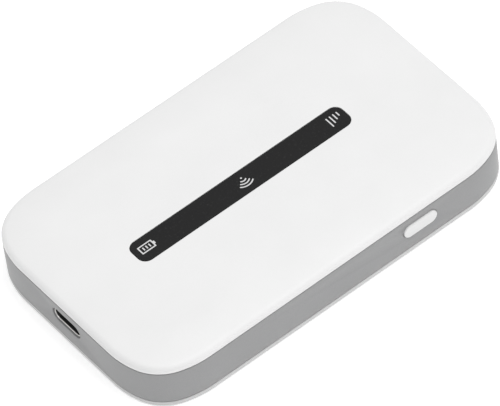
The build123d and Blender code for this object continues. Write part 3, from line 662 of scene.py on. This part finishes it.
def oval_ring(mesh, long_size, short_size, set_down, steps=12):
    """Points round a flat-sided oval. set_down turns its two lengths into a place."""
    points = []
    for side in (1, -1):
        for number in range(steps + 1):
            angle = math.radians(180 * number / steps - 90)
            along = side * ((long_size - short_size) / 2 + short_size / 2 * math.cos(angle))
            points.append(mesh.verts.new(set_down(along, side * short_size / 2 * math.sin(angle))))
    return points


def oval_rows(mesh, long_size, short_size, rows, set_down):
    """One oval ring for each (inset, depth) row."""
    return [
        oval_ring(
            mesh, long_size - 2 * inset, short_size - 2 * inset, lambda u, v, d=depth: set_down(u, v, d)
        )
        for inset, depth in rows
    ]


def cut(piece, cutter):
    """Takes one piece's shape out of another, and uses it up."""
    modifier = piece.modifiers.new("opening", "BOOLEAN")
    modifier.operation, modifier.solver, modifier.object = "DIFFERENCE", "EXACT", cutter
    result = bpy.data.meshes.new_from_object(piece.evaluated_get(bpy.context.evaluated_depsgraph_get()))
    piece.modifiers.clear()
    piece.data = result
    bpy.data.objects.remove(cutter)
    sheen(piece)


silver, tree, shader = new_material("silver_frame_paint")
texture = effect(tree, grain, Grain_Size=0.00009, Cloud_Size=0.009)
rubbing = effect(tree, wear, Reach=0.0002, Patch_Size=0.005)
flake = add(tree, "ShaderNodeTexVoronoi", {
    "Vector": own_place(tree), "Scale": 9000.0,
})
flecked = tint(tree, flake.outputs["Color"], (0.262, 0.263, 0.266), (0.308, 0.309, 0.312))
clouded = tint(tree, shade(tree, texture.outputs["Cloud"], 0.0, 0.5), flecked, (0.280, 0.280, 0.283))
feed(shader, "Base Color", tint(tree, rubbing.outputs["Mask"], clouded, (0.42, 0.42, 0.42)))
feed(shader, "Roughness", shade(tree, texture.outputs["Cloud"], 0.42, 0.50))
shader.inputs["Metallic"].default_value = 0.25
relief(tree, shader, texture.outputs["Height"], 0.000004, 0.8)

frame_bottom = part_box("side_frame")[0].z
wall_tree = swept_wall()
band = ring_wall(
    "side_frame_band", wall_tree, 0,
    Wall=side_wall, Bottom=frame_bottom, Top=frame_top, Edge_Round=0.25 * mm, Finish=silver,
)
chassis_plate_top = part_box("antenna_carrier")[0].z
ledge_low = chassis_plate_top + 0.05 * mm
ledge = ring_wall(
    "side_frame_ledge", wall_tree, side_wall - 0.05 * mm,
    Wall=2.05 * mm, Bottom=ledge_low, Top=ledge_low + 0.6 * mm, Edge_Round=0.1 * mm, Finish=silver,
)
shell_low, shell_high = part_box("usb_shell")
socket_z = (shell_low.z + shell_high.z) / 2
shell_width, shell_height = shell_high.y - shell_low.y, shell_high.z - shell_low.z
opening_room = 0.25 * mm
mouth_rows = (
    (-0.22 * mm, 0.1 * mm), (-0.12 * mm, 0), (-0.04 * mm, -0.04 * mm), (0, -0.12 * mm), (0, -2 * mm)
)
mouth = bmesh.new()
rings = oval_rows(
    mouth, shell_width + 2 * opening_room, shell_height + 2 * opening_room, mouth_rows,
    lambda u, v, d: (-case_end - d, u, socket_z + v),
)
skin(mouth, rings)
cap_ends(mouth, rings)
cut(band, make_piece(mouth, "socket_mouth"))
button_low, button_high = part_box("power_button")
flange = 0.6 * mm
button_length = button_high.x - button_low.x - 2 * flange
button_height = button_high.z - button_low.z - 2 * flange
button_x = (button_low.x + button_high.x) / 2
button_z = (button_low.z + button_high.z) / 2
button_fit = 0.12 * mm
mouth = bmesh.new()
rings = oval_rows(
    mouth, button_length + 2 * button_fit, button_height + 2 * button_fit, mouth_rows,
    lambda u, v, d: (button_x + u, -case_side - d, button_z + v),
)
skin(mouth, rings)
cap_ends(mouth, rings)
cut(band, make_piece(mouth, "button_mouth"))
side_frame = join("side_frame_ring", [band, ledge])
stands_for(side_frame, "side_frame", "case")

# ---- Power button ----
# A white moulded key with a rounded rim and a shallow finger dish. A flange behind the frame keeps
# it in, and a nub on its back presses the plunger of a side-push switch under the board.
button_plastic = moulded(
    "button_plastic", (0.76, 0.76, 0.76), (0.85, 0.85, 0.85), 0.34, 0.00014, 0.000004, dusty=0.06
)
face_y = button_low.y
nub_size, nub_depth, flange_thickness = (2.6 * mm, 1.2 * mm), 0.4 * mm, 0.7 * mm
flange_back = button_high.y - nub_depth
flange_front = flange_back - flange_thickness
key = bmesh.new()
key_rows = [
    (-flange, flange_back), (-flange, flange_front + 0.1 * mm), (0.1 * mm - flange, flange_front),
    (0, flange_front),
]
for number in range(7):
    angle = math.radians(90 * number / 6)
    key_rows.append((0.3 * mm * (1 - math.cos(angle)), face_y + 0.3 * mm * (1 - math.sin(angle))))
for number in range(1, 7):
    share = number / 6
    key_rows.append((0.36 * mm + 0.9 * mm * share, face_y + 0.12 * mm * share * (2 - share)))
rings = oval_rows(
    key, button_length, button_height, key_rows, lambda u, v, d: (button_x + u, d, button_z + v)
)
skin(key, rings)
cap_ends(key, rings)
key_body = make_piece(key, "key", button_plastic)


def soft_block(mesh, corner, other, radius, edge, steps=3):
    """A closed upright block between two corners, with rounded corners and softened rims."""
    low, high = (tuple(map(pick, corner, other)) for pick in (min, max))
    middle = ((low[0] + high[0]) / 2, (low[1] + high[1]) / 2)
    rings = []
    for inset, z in ((edge, low[2]), (edge * 0.3, low[2] + edge * 0.3), (0, low[2] + edge),
                     (0, high[2] - edge), (edge * 0.3, high[2] - edge * 0.3), (edge, high[2])):
        rings.append(rounded_ring(
            mesh, middle, high[0] - low[0] - 2 * inset, high[1] - low[1] - 2 * inset, radius - inset, z, steps
        ))
    skin(mesh, rings)
    cap_ends(mesh, rings)


nub = bmesh.new()
soft_block(
    nub,
    (button_x - nub_size[0] / 2, flange_back - 0.1 * mm, button_z - nub_size[1] / 2),
    (button_x + nub_size[0] / 2, button_high.y, button_z + nub_size[1] / 2),
    0.12 * mm, 0.08 * mm,
)
power_key = join("power_key", [key_body, make_piece(nub, "nub", button_plastic)])
stands_for(power_key, "power_button", "power_button")
switch_black = moulded("switch_plastic", (0.016, 0.016, 0.017), (0.05, 0.05, 0.05), 0.5, 0.00008, 0.000008)
coat(switch_black, "power_switch_body", "reset_switch_body")
coat(moulded("plunger_plastic", (0.70, 0.69, 0.66), (0.8, 0.8, 0.78), 0.4, 0.00008, 0.000006),
     "power_switch_plunger", "reset_plunger")

# ---- Charging socket ----
# A drawn steel shell with a rolled mouth sits a little inside the frame's opening. It holds a black
# tongue with twelve gold contacts on each of its faces.
rolled, taken, given = new_effect(
    "rolled_streaks", (("Length", 0.006), ("Breadth", 0.0002)), ("Height", "Tarnish")
)
stretch = add(rolled, "ShaderNodeCombineXYZ", {
    "X": reading(rolled, "DIVIDE", 1.0, taken.outputs["Length"]),
    "Y": reading(rolled, "DIVIDE", 1.0, taken.outputs["Breadth"]),
    "Z": reading(rolled, "DIVIDE", 1.0, taken.outputs["Breadth"]),
})
place = own_place(rolled)
drawn = add(rolled, "ShaderNodeVectorMath", {0: place, 1: stretch.outputs[0]}, operation="MULTIPLY")
lines = add(rolled, "ShaderNodeTexNoise", {"Vector": drawn.outputs[0], "Scale": 1.0, "Detail": 3.0})
stain = add(rolled, "ShaderNodeTexNoise", {"Vector": place, "Scale": 260.0, "Detail": 5.0, "Roughness": 0.6})
rolled.links.new(lines.outputs["Fac"], given.inputs["Height"])
rolled.links.new(stain.outputs["Fac"], given.inputs["Tarnish"])


def sheet_metal(name, colour, tarnished, rough, length=0.006, breadth=0.0002, depth=0.000003):
    """Rolled or plated metal: drawn streaks, faint tarnish and bright rubbed edges."""
    material, tree, shader = new_material(name)
    streak = effect(tree, rolled, Length=length, Breadth=breadth)
    rubbing = effect(tree, wear, Reach=0.00012, Patch_Size=0.002)
    stained = tint(tree, streak.outputs["Tarnish"], colour, tarnished)
    bright = tuple(min(1.0, 1.15 * channel) for channel in colour)
    feed(shader, "Base Color", tint(tree, rubbing.outputs["Mask"], stained, bright))
    worked = reading(tree, "MULTIPLY", streak.outputs["Height"], streak.outputs["Tarnish"])
    feed(shader, "Roughness", shade(tree, worked, rough - 0.06, rough + 0.2))
    shader.inputs["Metallic"].default_value = 1.0
    relief(tree, shader, streak.outputs["Height"], depth)
    return material


# Inside its rolled rim the shell is painted near-black and not metallic. This is a painted shadow for the socket's
# depth, with faint streaks in it, and only the rim shows bright steel.
socket_steel, tree, shader = new_material("socket_steel")
streak = effect(tree, rolled, Length=0.004, Breadth=0.0002)
depth_in = add(tree, "ShaderNodeSeparateXYZ", {0: own_place(tree)}).outputs["X"]
rim_clear_of_painted_shade = ramp(tree, depth_in, shell_low.x + 0.20 * mm, shell_low.x + 0.12 * mm)
stained = tint(tree, streak.outputs["Tarnish"], (0.020, 0.020, 0.021), (0.012, 0.012, 0.012))
feed(shader, "Base Color", tint(tree, rim_clear_of_painted_shade, stained, (0.78, 0.77, 0.75)))
feed(shader, "Roughness", shade(tree, streak.outputs["Height"], 0.22, 0.42))
feed(shader, "Metallic", rim_clear_of_painted_shade)
relief(tree, shader, streak.outputs["Height"], 0.000003)
shell_wall = 0.3 * mm
shell = bmesh.new()
shell_rows = (
    (0, shell_high.x), (0, shell_low.x + 0.12 * mm), (0.035 * mm, shell_low.x + 0.035 * mm),
    (0.12 * mm, shell_low.x),
    (shell_wall - 0.12 * mm, shell_low.x), (shell_wall - 0.035 * mm, shell_low.x + 0.035 * mm),
    (shell_wall, shell_low.x + 0.12 * mm), (shell_wall, shell_high.x),
)
shell_rings = oval_rows(shell, shell_width, shell_height, shell_rows, lambda u, v, d: (d, u, socket_z + v))
skin(shell, shell_rings, closed=True)
socket_shell = make_piece(shell, "socket_shell", socket_steel)
stands_for(socket_shell, "usb_shell", "case")
coat(
    moulded("socket_black_resin", (0.012, 0.012, 0.013), (0.03, 0.03, 0.03), 0.42, 0.0001, 0.000006, dusty=0.05),
    "usb_tongue",
)
contact_gold = sheet_metal(
    "contact_gold", (0.86, 0.62, 0.24), (0.72, 0.47, 0.17), 0.2, 0.002, 0.0001, 0.000001
)
coat(contact_gold, "usb_contacts", "sim_contacts", "battery_contacts", "battery_springs", "antenna_clips")

# ---- Back cover ----
# A flat dish moulded like the front and a little glossier. Its white is painted darker than the front's as painted
# shade for the underside.
# Small beads on its lip rub on the frame and hold it, and a scoop at the antenna end takes a fingernail.
# The dish's colour, 0.60 against the front's 0.80, is painted shade for the underside, which the bright floor would
# otherwise light.
back_plastic_painted_shade = moulded(
    "back_shell_plastic", (0.60, 0.60, 0.60), (0.70, 0.70, 0.695), 0.40, 0.00016, 0.000008, dusty=0.12
)
rim_top = frame_bottom - seam_gap
back_floor = 1.0 * mm
back_round = 0.7 * mm
dish = bmesh.new()
dish_rows = []
for number in range(9):
    angle = math.radians(90 * number / 8)
    dish_rows.append((back_round * (1 - math.sin(angle)), back_round * (1 - math.cos(angle))))
dish_rows += [
    (0, rim_top - 0.2 * mm), (0.06 * mm, rim_top - 0.06 * mm), (0.2 * mm, rim_top),
    (side_wall, rim_top), (side_wall, back_floor),
]
rings = [case_ring(dish, inset, z) for inset, z in dish_rows]
skin(dish, rings)
fill(dish, rings[0])
fill(dish, rings[-1])
dish_body = make_piece(dish, "dish", back_plastic_painted_shade)
scoop_radius, scoop_bite = 9.0 * mm, 0.8 * mm
scoop = bmesh.new()
scoop_profile = (
    (scoop_radius - 0.25 * mm, rim_top - 0.8 * mm), (scoop_radius - 0.07 * mm, rim_top - 0.73 * mm),
    (scoop_radius, rim_top - 0.55 * mm), (scoop_radius, rim_top + 1 * mm),
)
rings = lathe(scoop, scoop_profile, 128, (case_end + scoop_radius - scoop_bite, 0))
cap_ends(scoop, rings)
cut(dish_body, make_piece(scoop, "scoop"))
back_lip_top = back_floor + 1.25 * mm
lip_mesh = bmesh.new()
lip_rows = (
    (lip_inner, back_floor), (lip_inner, back_lip_top - 0.1 * mm), (lip_inner - 0.1 * mm, back_lip_top),
    (lip_outer + 0.25 * mm, back_lip_top), (lip_outer, back_lip_top - 0.25 * mm), (lip_outer, back_floor),
)
skin(lip_mesh, [case_ring(lip_mesh, inset, z) for inset, z in lip_rows], closed=True)
back_lip = make_piece(lip_mesh, "back_lip", back_plastic_painted_shade)
bead_mesh = bmesh.new()
bead_proud, bead_depth, bead_length, bead_height = 0.12 * mm, 0.4 * mm, 6.0 * mm, 0.4 * mm
bead_bottom = back_lip_top - 0.6 * mm
bead_places = [((x, case_side), (1, 0)) for x in (-case_end / 2, 0, case_end / 2)]
bead_places += [((case_end, y), (0, 1)) for y in (-case_side / 2, case_side / 2)]
for (x, y), (along_x, along_y) in bead_places:
    for side in (-1, 1):
        corners = []
        for inset, end, z in (
            (lip_outer - bead_proud, -0.5, bead_bottom),
            (lip_outer + bead_depth, 0.5, bead_bottom + bead_height),
        ):
            corners.append((
                along_x * (x + end * bead_length) + along_y * side * (x - inset),
                along_y * (y + end * bead_length) + along_x * side * (y - inset),
                z,
            ))
        soft_block(bead_mesh, *corners, 0.11 * mm, 0.1 * mm)
back_cover = join("back_cover_moulding", [dish_body, back_lip, make_piece(bead_mesh, "beads", back_plastic_painted_shade)])
stands_for(back_cover, "back_cover", "back_cover")

# ---- Rear chassis and its screws ----
# A grey glass-filled tray with the battery bay in its middle. Six black-zinc screws go up through
# it and the board into the front cover's posts.
coat(moulded("chassis_plastic", (0.115, 0.118, 0.122), (0.2, 0.2, 0.2), 0.58, 0.00013, 0.000014, dusty=0.35),
     "rear_chassis")
screw_zinc = sheet_metal("screw_zinc", (0.50, 0.50, 0.52), (0.34, 0.34, 0.36), 0.3, 0.001, 0.0002)
head_low, screw_tip = screw_low.z, screw_high.z
seat, shank, thread_depth, pitch = head_low + 0.9 * mm, 0.7 * mm, 0.1 * mm, 0.4 * mm
screw = bmesh.new()
head_rings = lathe(screw, (
    (shank, seat), (screw_head, seat), (screw_head, head_low + 0.35 * mm),
    (0.94 * screw_head, head_low + 0.14 * mm), (0.84 * screw_head, head_low + 0.03 * mm),
    (0.76 * screw_head, head_low),
), 32)
cross_reach, cross_half, cross_depth = 0.75 * mm, 0.17 * mm, 0.4 * mm
cross_rings = []
for shrink, z in ((1.0, head_low), (0.8, head_low + cross_depth)):
    reach, half = shrink * cross_reach, shrink * cross_half
    points = []
    for quarter in range(4):
        turn = Matrix.Rotation(quarter * math.pi / 2, 3, "Z")
        for x, y in ((half, half), (half, reach), (-half, reach)):
            points.append(screw.verts.new(turn @ Vector((x, y, z))))
    cross_rings.append(points)
skin(screw, cross_rings)
screw.faces.new(cross_rings[1])
fill(screw, head_rings[-1], cross_rings[0])
thread_rings = []
rows = 6 * round((screw_tip - seat) / pitch)
for number in range(rows + 1):
    z = seat + (screw_tip - seat) * number / rows
    taper = min(1.0, 0.55 + (screw_tip - z) / (1.2 * mm))
    ring = []
    for step in range(24):
        phase = (z / pitch - step / 24) % 1.0
        ridge = 1.0 - 2.0 * abs(phase - 0.5)
        radius = taper * (shank - thread_depth * (1 - ridge) if 0 < number < rows else shank - thread_depth)
        angle = math.tau * step / 24
        ring.append(screw.verts.new((radius * math.cos(angle), radius * math.sin(angle), z)))
    thread_rings.append(ring)
skin(screw, thread_rings)
screw.faces.new(thread_rings[-1])
fill(screw, head_rings[0], thread_rings[0])
screws = set_out(
    "chassis_screw_set", make_piece(screw, "screw", screw_zinc), screw_places, screw_zinc,
    largest_turn=0.7, seed=11,
)
stands_for(screws, "chassis_screws", "case")

# ---- Board ----
# Green solder mask over copper, bare glass fibre at the cut edges. The traces run in straight lanes
# and tinned holes join them to the layers below.
mask_green, tree, shader = new_material("solder_mask_green")
texture = effect(tree, grain, Grain_Size=0.00008, Cloud_Size=0.006)
lint = effect(tree, dust, Amount=0.2)
place = own_place(tree)
lanes = add(tree, "ShaderNodeTexBrick", {
    "Vector": place, "Scale": 420.0, "Mortar Size": 0.018, "Brick Width": 3.4, "Row Height": 0.22,
    "Color1": (0, 0, 0, 1),
    "Color2": (0, 0, 0, 1), "Mortar": (1, 1, 1, 1),
})
regions = add(tree, "ShaderNodeTexVoronoi", {"Vector": place, "Scale": 160.0})
poured = ramp(tree, regions.outputs["Color"], 0.45, 0.5)
traced = reading(tree, "MULTIPLY", lanes.outputs["Color"], poured)
holes = add(tree, "ShaderNodeTexVoronoi", {"Vector": place, "Scale": 480.0})
tinned = ramp(tree, holes.outputs["Distance"], 0.13, 0.10)
soldered = tint(tree, traced, (0.012, 0.085, 0.030), (0.030, 0.17, 0.065))
dotted = tint(tree, tinned, soldered, (0.45, 0.44, 0.40))
upright = upwards(tree)
flat = ramp(tree, reading(tree, "ABSOLUTE", upright), 0.4, 0.6)
edged = tint(tree, flat, (0.30, 0.29, 0.13), dotted)
feed(shader, "Base Color", tint(tree, lint.outputs["Mask"], edged, (0.5, 0.5, 0.48)))
feed(shader, "Roughness", shade(tree, texture.outputs["Cloud"], 0.22, 0.42))
raised = reading(tree, "ADD", traced, reading(tree, "MULTIPLY", texture.outputs["Height"], 0.2))
relief(tree, shader, raised, 0.00003, 0.7)
coat(mask_green, "main_board")

# ---- Shield cans, chips and small parts ----
# Two tinned cans clip over fences soldered to the board. Chips are dull black epoxy, and the small
# parts are tan ceramic blocks with tinned ends, set in rows by a machine.
can_tin, tree, shader = new_material("can_tin_plate")
streak = effect(tree, rolled, Length=0.01, Breadth=0.00025)
rubbing = effect(tree, wear, Reach=0.00015, Patch_Size=0.003)
place = own_place(tree)
# The vent holes are not cut through. Near-black dots on the cans' top faces are painted shade standing for the
# holes, and the bump sinks them a little.
vents = add(
    tree, "ShaderNodeTexVoronoi", {"Vector": place, "Scale": 400.0, "Randomness": 0.0},
    voronoi_dimensions="2D",
)
upright = upwards(tree)
vented = ramp(tree, vents.outputs["Distance"], 0.24, 0.19)
vent_holes_painted_shade = reading(tree, "MULTIPLY", vented, reading(tree, "GREATER_THAN", upright, 0.5))
stained = tint(tree, streak.outputs["Tarnish"], (0.66, 0.67, 0.67), (0.50, 0.50, 0.49))
rubbed_bright = tint(tree, rubbing.outputs["Mask"], stained, (0.8, 0.8, 0.8))
feed(shader, "Base Color", tint(tree, vent_holes_painted_shade, rubbed_bright, (0.05, 0.05, 0.05)))
feed(shader, "Roughness", shade(tree, streak.outputs["Height"], 0.25, 0.42))
shader.inputs["Metallic"].default_value = 1.0
sunk = reading(tree, "SUBTRACT", reading(tree, "MULTIPLY", streak.outputs["Height"], 0.03), vent_holes_painted_shade)
relief(tree, shader, sunk, 0.0001, 0.8)
coat(can_tin, "main_shield_lid", "radio_shield_lid")
coat(sheet_metal("fence_tin_plate", (0.62, 0.62, 0.61), (0.47, 0.47, 0.46), 0.34),
     "main_shield_frame", "radio_shield_frame")
coat(
    moulded("chip_epoxy", (0.020, 0.020, 0.021), (0.06, 0.06, 0.06), 0.55, 0.00005, 0.000009, 0.004, 0.15, 0.0001),
    "modem_chip", "memory_chip", "radio_chip", "power_amplifiers", "wifi_chip", "power_chip",
)
coat(
    sheet_metal("crystal_lid_steel", (0.70, 0.69, 0.66), (0.58, 0.56, 0.53), 0.2, 0.002, 0.0001),
    "board_crystals",
)
coat(moulded("inductor_ferrite", (0.075, 0.076, 0.08), (0.16, 0.16, 0.16), 0.5, 0.00012, 0.00002, 0.002),
     "power_inductors")
passive_low, passive_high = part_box("board_passives")
passive_length, passive_width = 1.0 * mm, 0.5 * mm
passive_pitch = 1.6 * mm
row_middles = (
    (
        passive_low.x + 2 * passive_pitch + passive_length / 2,
        passive_low.y + passive_pitch + passive_width / 2,
    ),
    (22.5 * mm, passive_high.y - passive_pitch - passive_width / 2),
    (passive_high.x - 2 * passive_pitch - passive_length / 2, 8.0 * mm),
    (passive_high.x - 2 * passive_pitch - passive_length / 2, -8.0 * mm),
)
passive_places = []
for x, y in row_middles:
    for column in range(-2, 3):
        for row in range(-1, 2):
            passive_places.append((x + column * passive_pitch, y + row * passive_pitch, 0))
ceramic = moulded("passive_ceramic", (0.34, 0.22, 0.12), (0.4, 0.3, 0.2), 0.5, 0.00006, 0.000006, 0.002)
end_tin = sheet_metal("passive_end_tin", (0.72, 0.72, 0.70), (0.55, 0.55, 0.53), 0.3, 0.0005, 0.0001)
cap_length = 0.22 * mm
middle_part = bmesh.new()
soft_block(
    middle_part,
    (-passive_length / 2 + cap_length, -0.46 * passive_width, passive_low.z),
    (passive_length / 2 - cap_length, 0.46 * passive_width, passive_high.z - 0.02 * mm),
    0.03 * mm, 0.02 * mm, 1,
)
bodies = set_out("passive_bodies", make_piece(middle_part, "ceramic_body", ceramic), passive_places, ceramic)
end_caps = bmesh.new()
for side in (-1, 1):
    soft_block(
        end_caps,
        (side * passive_length / 2, -passive_width / 2, passive_low.z),
        (side * (passive_length / 2 - cap_length), passive_width / 2, passive_high.z),
        0.06 * mm, 0.05 * mm, 2,
    )
caps = set_out("passive_caps", make_piece(end_caps, "end_caps", end_tin), passive_places, end_tin)
passives = join("passive_rows", [bodies, caps])
stands_for(passives, "board_passives", "case")

# ---- Heat path ----
# A sheet of pressed graphite under the front cover, and a soft silicone pad that fills the gap to
# the modem's can.
coat(
    sheet_metal("pressed_graphite", (0.10, 0.10, 0.105), (0.06, 0.06, 0.065), 0.4, 0.003, 0.0003),
    "heat_spreader",
)
coat(
    moulded("silicone_pad", (0.30, 0.33, 0.36), (0.34, 0.37, 0.40), 0.75, 0.0002, 0.00003, 0.006, 0.4),
    "thermal_pad",
)

# ---- SIM card and its socket ----
# A stamped steel tunnel over a black base with six gold contacts. The card is white plastic with a
# gold contact plate that is cut into pads.
panel, taken, given = new_effect(
    "printed_panel",
    (("Middle X", 0.0), ("Middle Y", 0.0), ("Half Length", 0.004), ("Half Width", 0.004)), ("Mask",),
)
place = add(panel, "ShaderNodeSeparateXYZ", {0: own_place(panel)})
inside = []
for axis, middle_name, half_name in (("X", "Middle X", "Half Length"), ("Y", "Middle Y", "Half Width")):
    away = reading(
        panel, "ABSOLUTE", reading(panel, "SUBTRACT", place.outputs[axis], taken.outputs[middle_name])
    )
    inside.append(reading(panel, "LESS_THAN", away, taken.outputs[half_name]))
panel.links.new(reading(panel, "MULTIPLY", *inside), given.inputs["Mask"])

coat(sheet_metal("sim_tunnel_steel", (0.62, 0.61, 0.59), (0.50, 0.49, 0.47), 0.3), "sim_socket_shell")
coat(
    moulded("sim_base_resin", (0.014, 0.014, 0.015), (0.04, 0.04, 0.04), 0.5, 0.0001, 0.000008),
    "sim_socket_base",
)
card_low, card_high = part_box("sim_card")
card_middle = middle_of(card_low, card_high)
card, tree, shader = new_material("sim_card_plastic")
texture = effect(tree, grain, Grain_Size=0.0002, Cloud_Size=0.004)
plate = effect(
    tree, panel, Middle_X=card_middle[0], Middle_Y=card_middle[1], Half_Length=0.0046, Half_Width=0.0039
)
groove = effect(
    tree, panel, Middle_X=card_middle[0], Middle_Y=card_middle[1], Half_Length=0.00008, Half_Width=0.005
)
cross_groove = add(tree, "ShaderNodeTexWave", {
    "Vector": own_place(tree), "Scale": 61.0, "Phase Offset": 1.0,
}, bands_direction="Y")
cut_lines = reading(tree, "GREATER_THAN", cross_groove.outputs["Fac"], 0.985)
grooves = reading(tree, "MAXIMUM", groove.outputs["Mask"], cut_lines)
upright = upwards(tree)
pads = reading(tree, "MULTIPLY", plate.outputs["Mask"], reading(tree, "GREATER_THAN", upright, 0.5))
gold = reading(tree, "MULTIPLY", pads, reading(tree, "SUBTRACT", 1.0, grooves))
card_white = tint(tree, texture.outputs["Cloud"], (0.70, 0.70, 0.69), (0.78, 0.78, 0.77))
feed(shader, "Base Color", tint(tree, gold, card_white, (0.80, 0.56, 0.22)))
feed(shader, "Metallic", gold)
feed(shader, "Roughness", shade(tree, texture.outputs["Height"], 0.32, 0.46))
relief(tree, shader, texture.outputs["Height"], 0.000005)
coat(card, "sim_card")

# ---- Battery ----
# A soft pouch in dark shrink film, its black end cap with four gold contacts, and a plain printed
# label. Four bowed springs in a black block meet the contacts.
coat(
    moulded("battery_shrink_film", (0.055, 0.058, 0.064), (0.14, 0.14, 0.15), 0.32, 0.0005, 0.00003, 0.008, 0.15),
    "battery_cell",
)
coat(moulded("battery_cap_resin", (0.016, 0.016, 0.017), (0.05, 0.05, 0.05), 0.45, 0.0001, 0.00001),
     "battery_end_cap", "battery_connector")
label_low, label_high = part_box("battery_label")
label_middle = middle_of(label_low, label_high)
label_half = ((label_high.x - label_low.x) / 2, (label_high.y - label_low.y) / 2)
label, tree, shader = new_material("battery_label_film")
texture = effect(tree, grain, Grain_Size=0.0003, Cloud_Size=0.01)
paper_white = tint(tree, texture.outputs["Cloud"], (0.66, 0.66, 0.65), (0.74, 0.74, 0.73))
label_margin, rule_width = 1.2 * mm, 0.3 * mm
margin, field = [
    effect(
        tree, panel, Middle_X=label_middle[0], Middle_Y=label_middle[1],
        Half_Length=label_half[0] - inset, Half_Width=label_half[1] - inset,
    ).outputs["Mask"]
    for inset in (label_margin, label_margin + rule_width)
]
ruled = reading(tree, "SUBTRACT", margin, field)
for offset_x, offset_y, half_length, half_width in (
    (-0.006, 0.0125, 0.011, 0.0011), (-0.008, 0.0075, 0.009, 0.0004), (-0.008, 0.0055, 0.009, 0.0004),
    (-0.0095, 0.0035, 0.0075, 0.0004), (0.009, -0.0095, 0.007, 0.0028),
):
    block = effect(
        tree, panel, Middle_X=label_middle[0] + offset_x, Middle_Y=label_middle[1] + offset_y,
        Half_Length=half_length, Half_Width=half_width,
    )
    ruled = reading(tree, "MAXIMUM", ruled, block.outputs["Mask"])
feed(shader, "Base Color", tint(tree, ruled, paper_white, (0.30, 0.31, 0.33)))
feed(shader, "Roughness", shade(tree, texture.outputs["Height"], 0.35, 0.5))
relief(tree, shader, texture.outputs["Height"], 0.000006)
coat(label, "battery_label")

# ---- Antennas ----
# A black carrier bent round the antenna end, with a folded copper strip on it. Two more printed
# patches are stuck under the front cover, and gold clips bring each one to the board.
coat(
    moulded("carrier_plastic", (0.020, 0.020, 0.021), (0.06, 0.06, 0.06), 0.5, 0.00012, 0.00001),
    "antenna_carrier",
)
coat(sheet_metal("antenna_copper", (0.82, 0.46, 0.28), (0.62, 0.32, 0.18), 0.3, 0.004, 0.0003),
     "main_antenna", "diversity_antenna", "wifi_antenna")
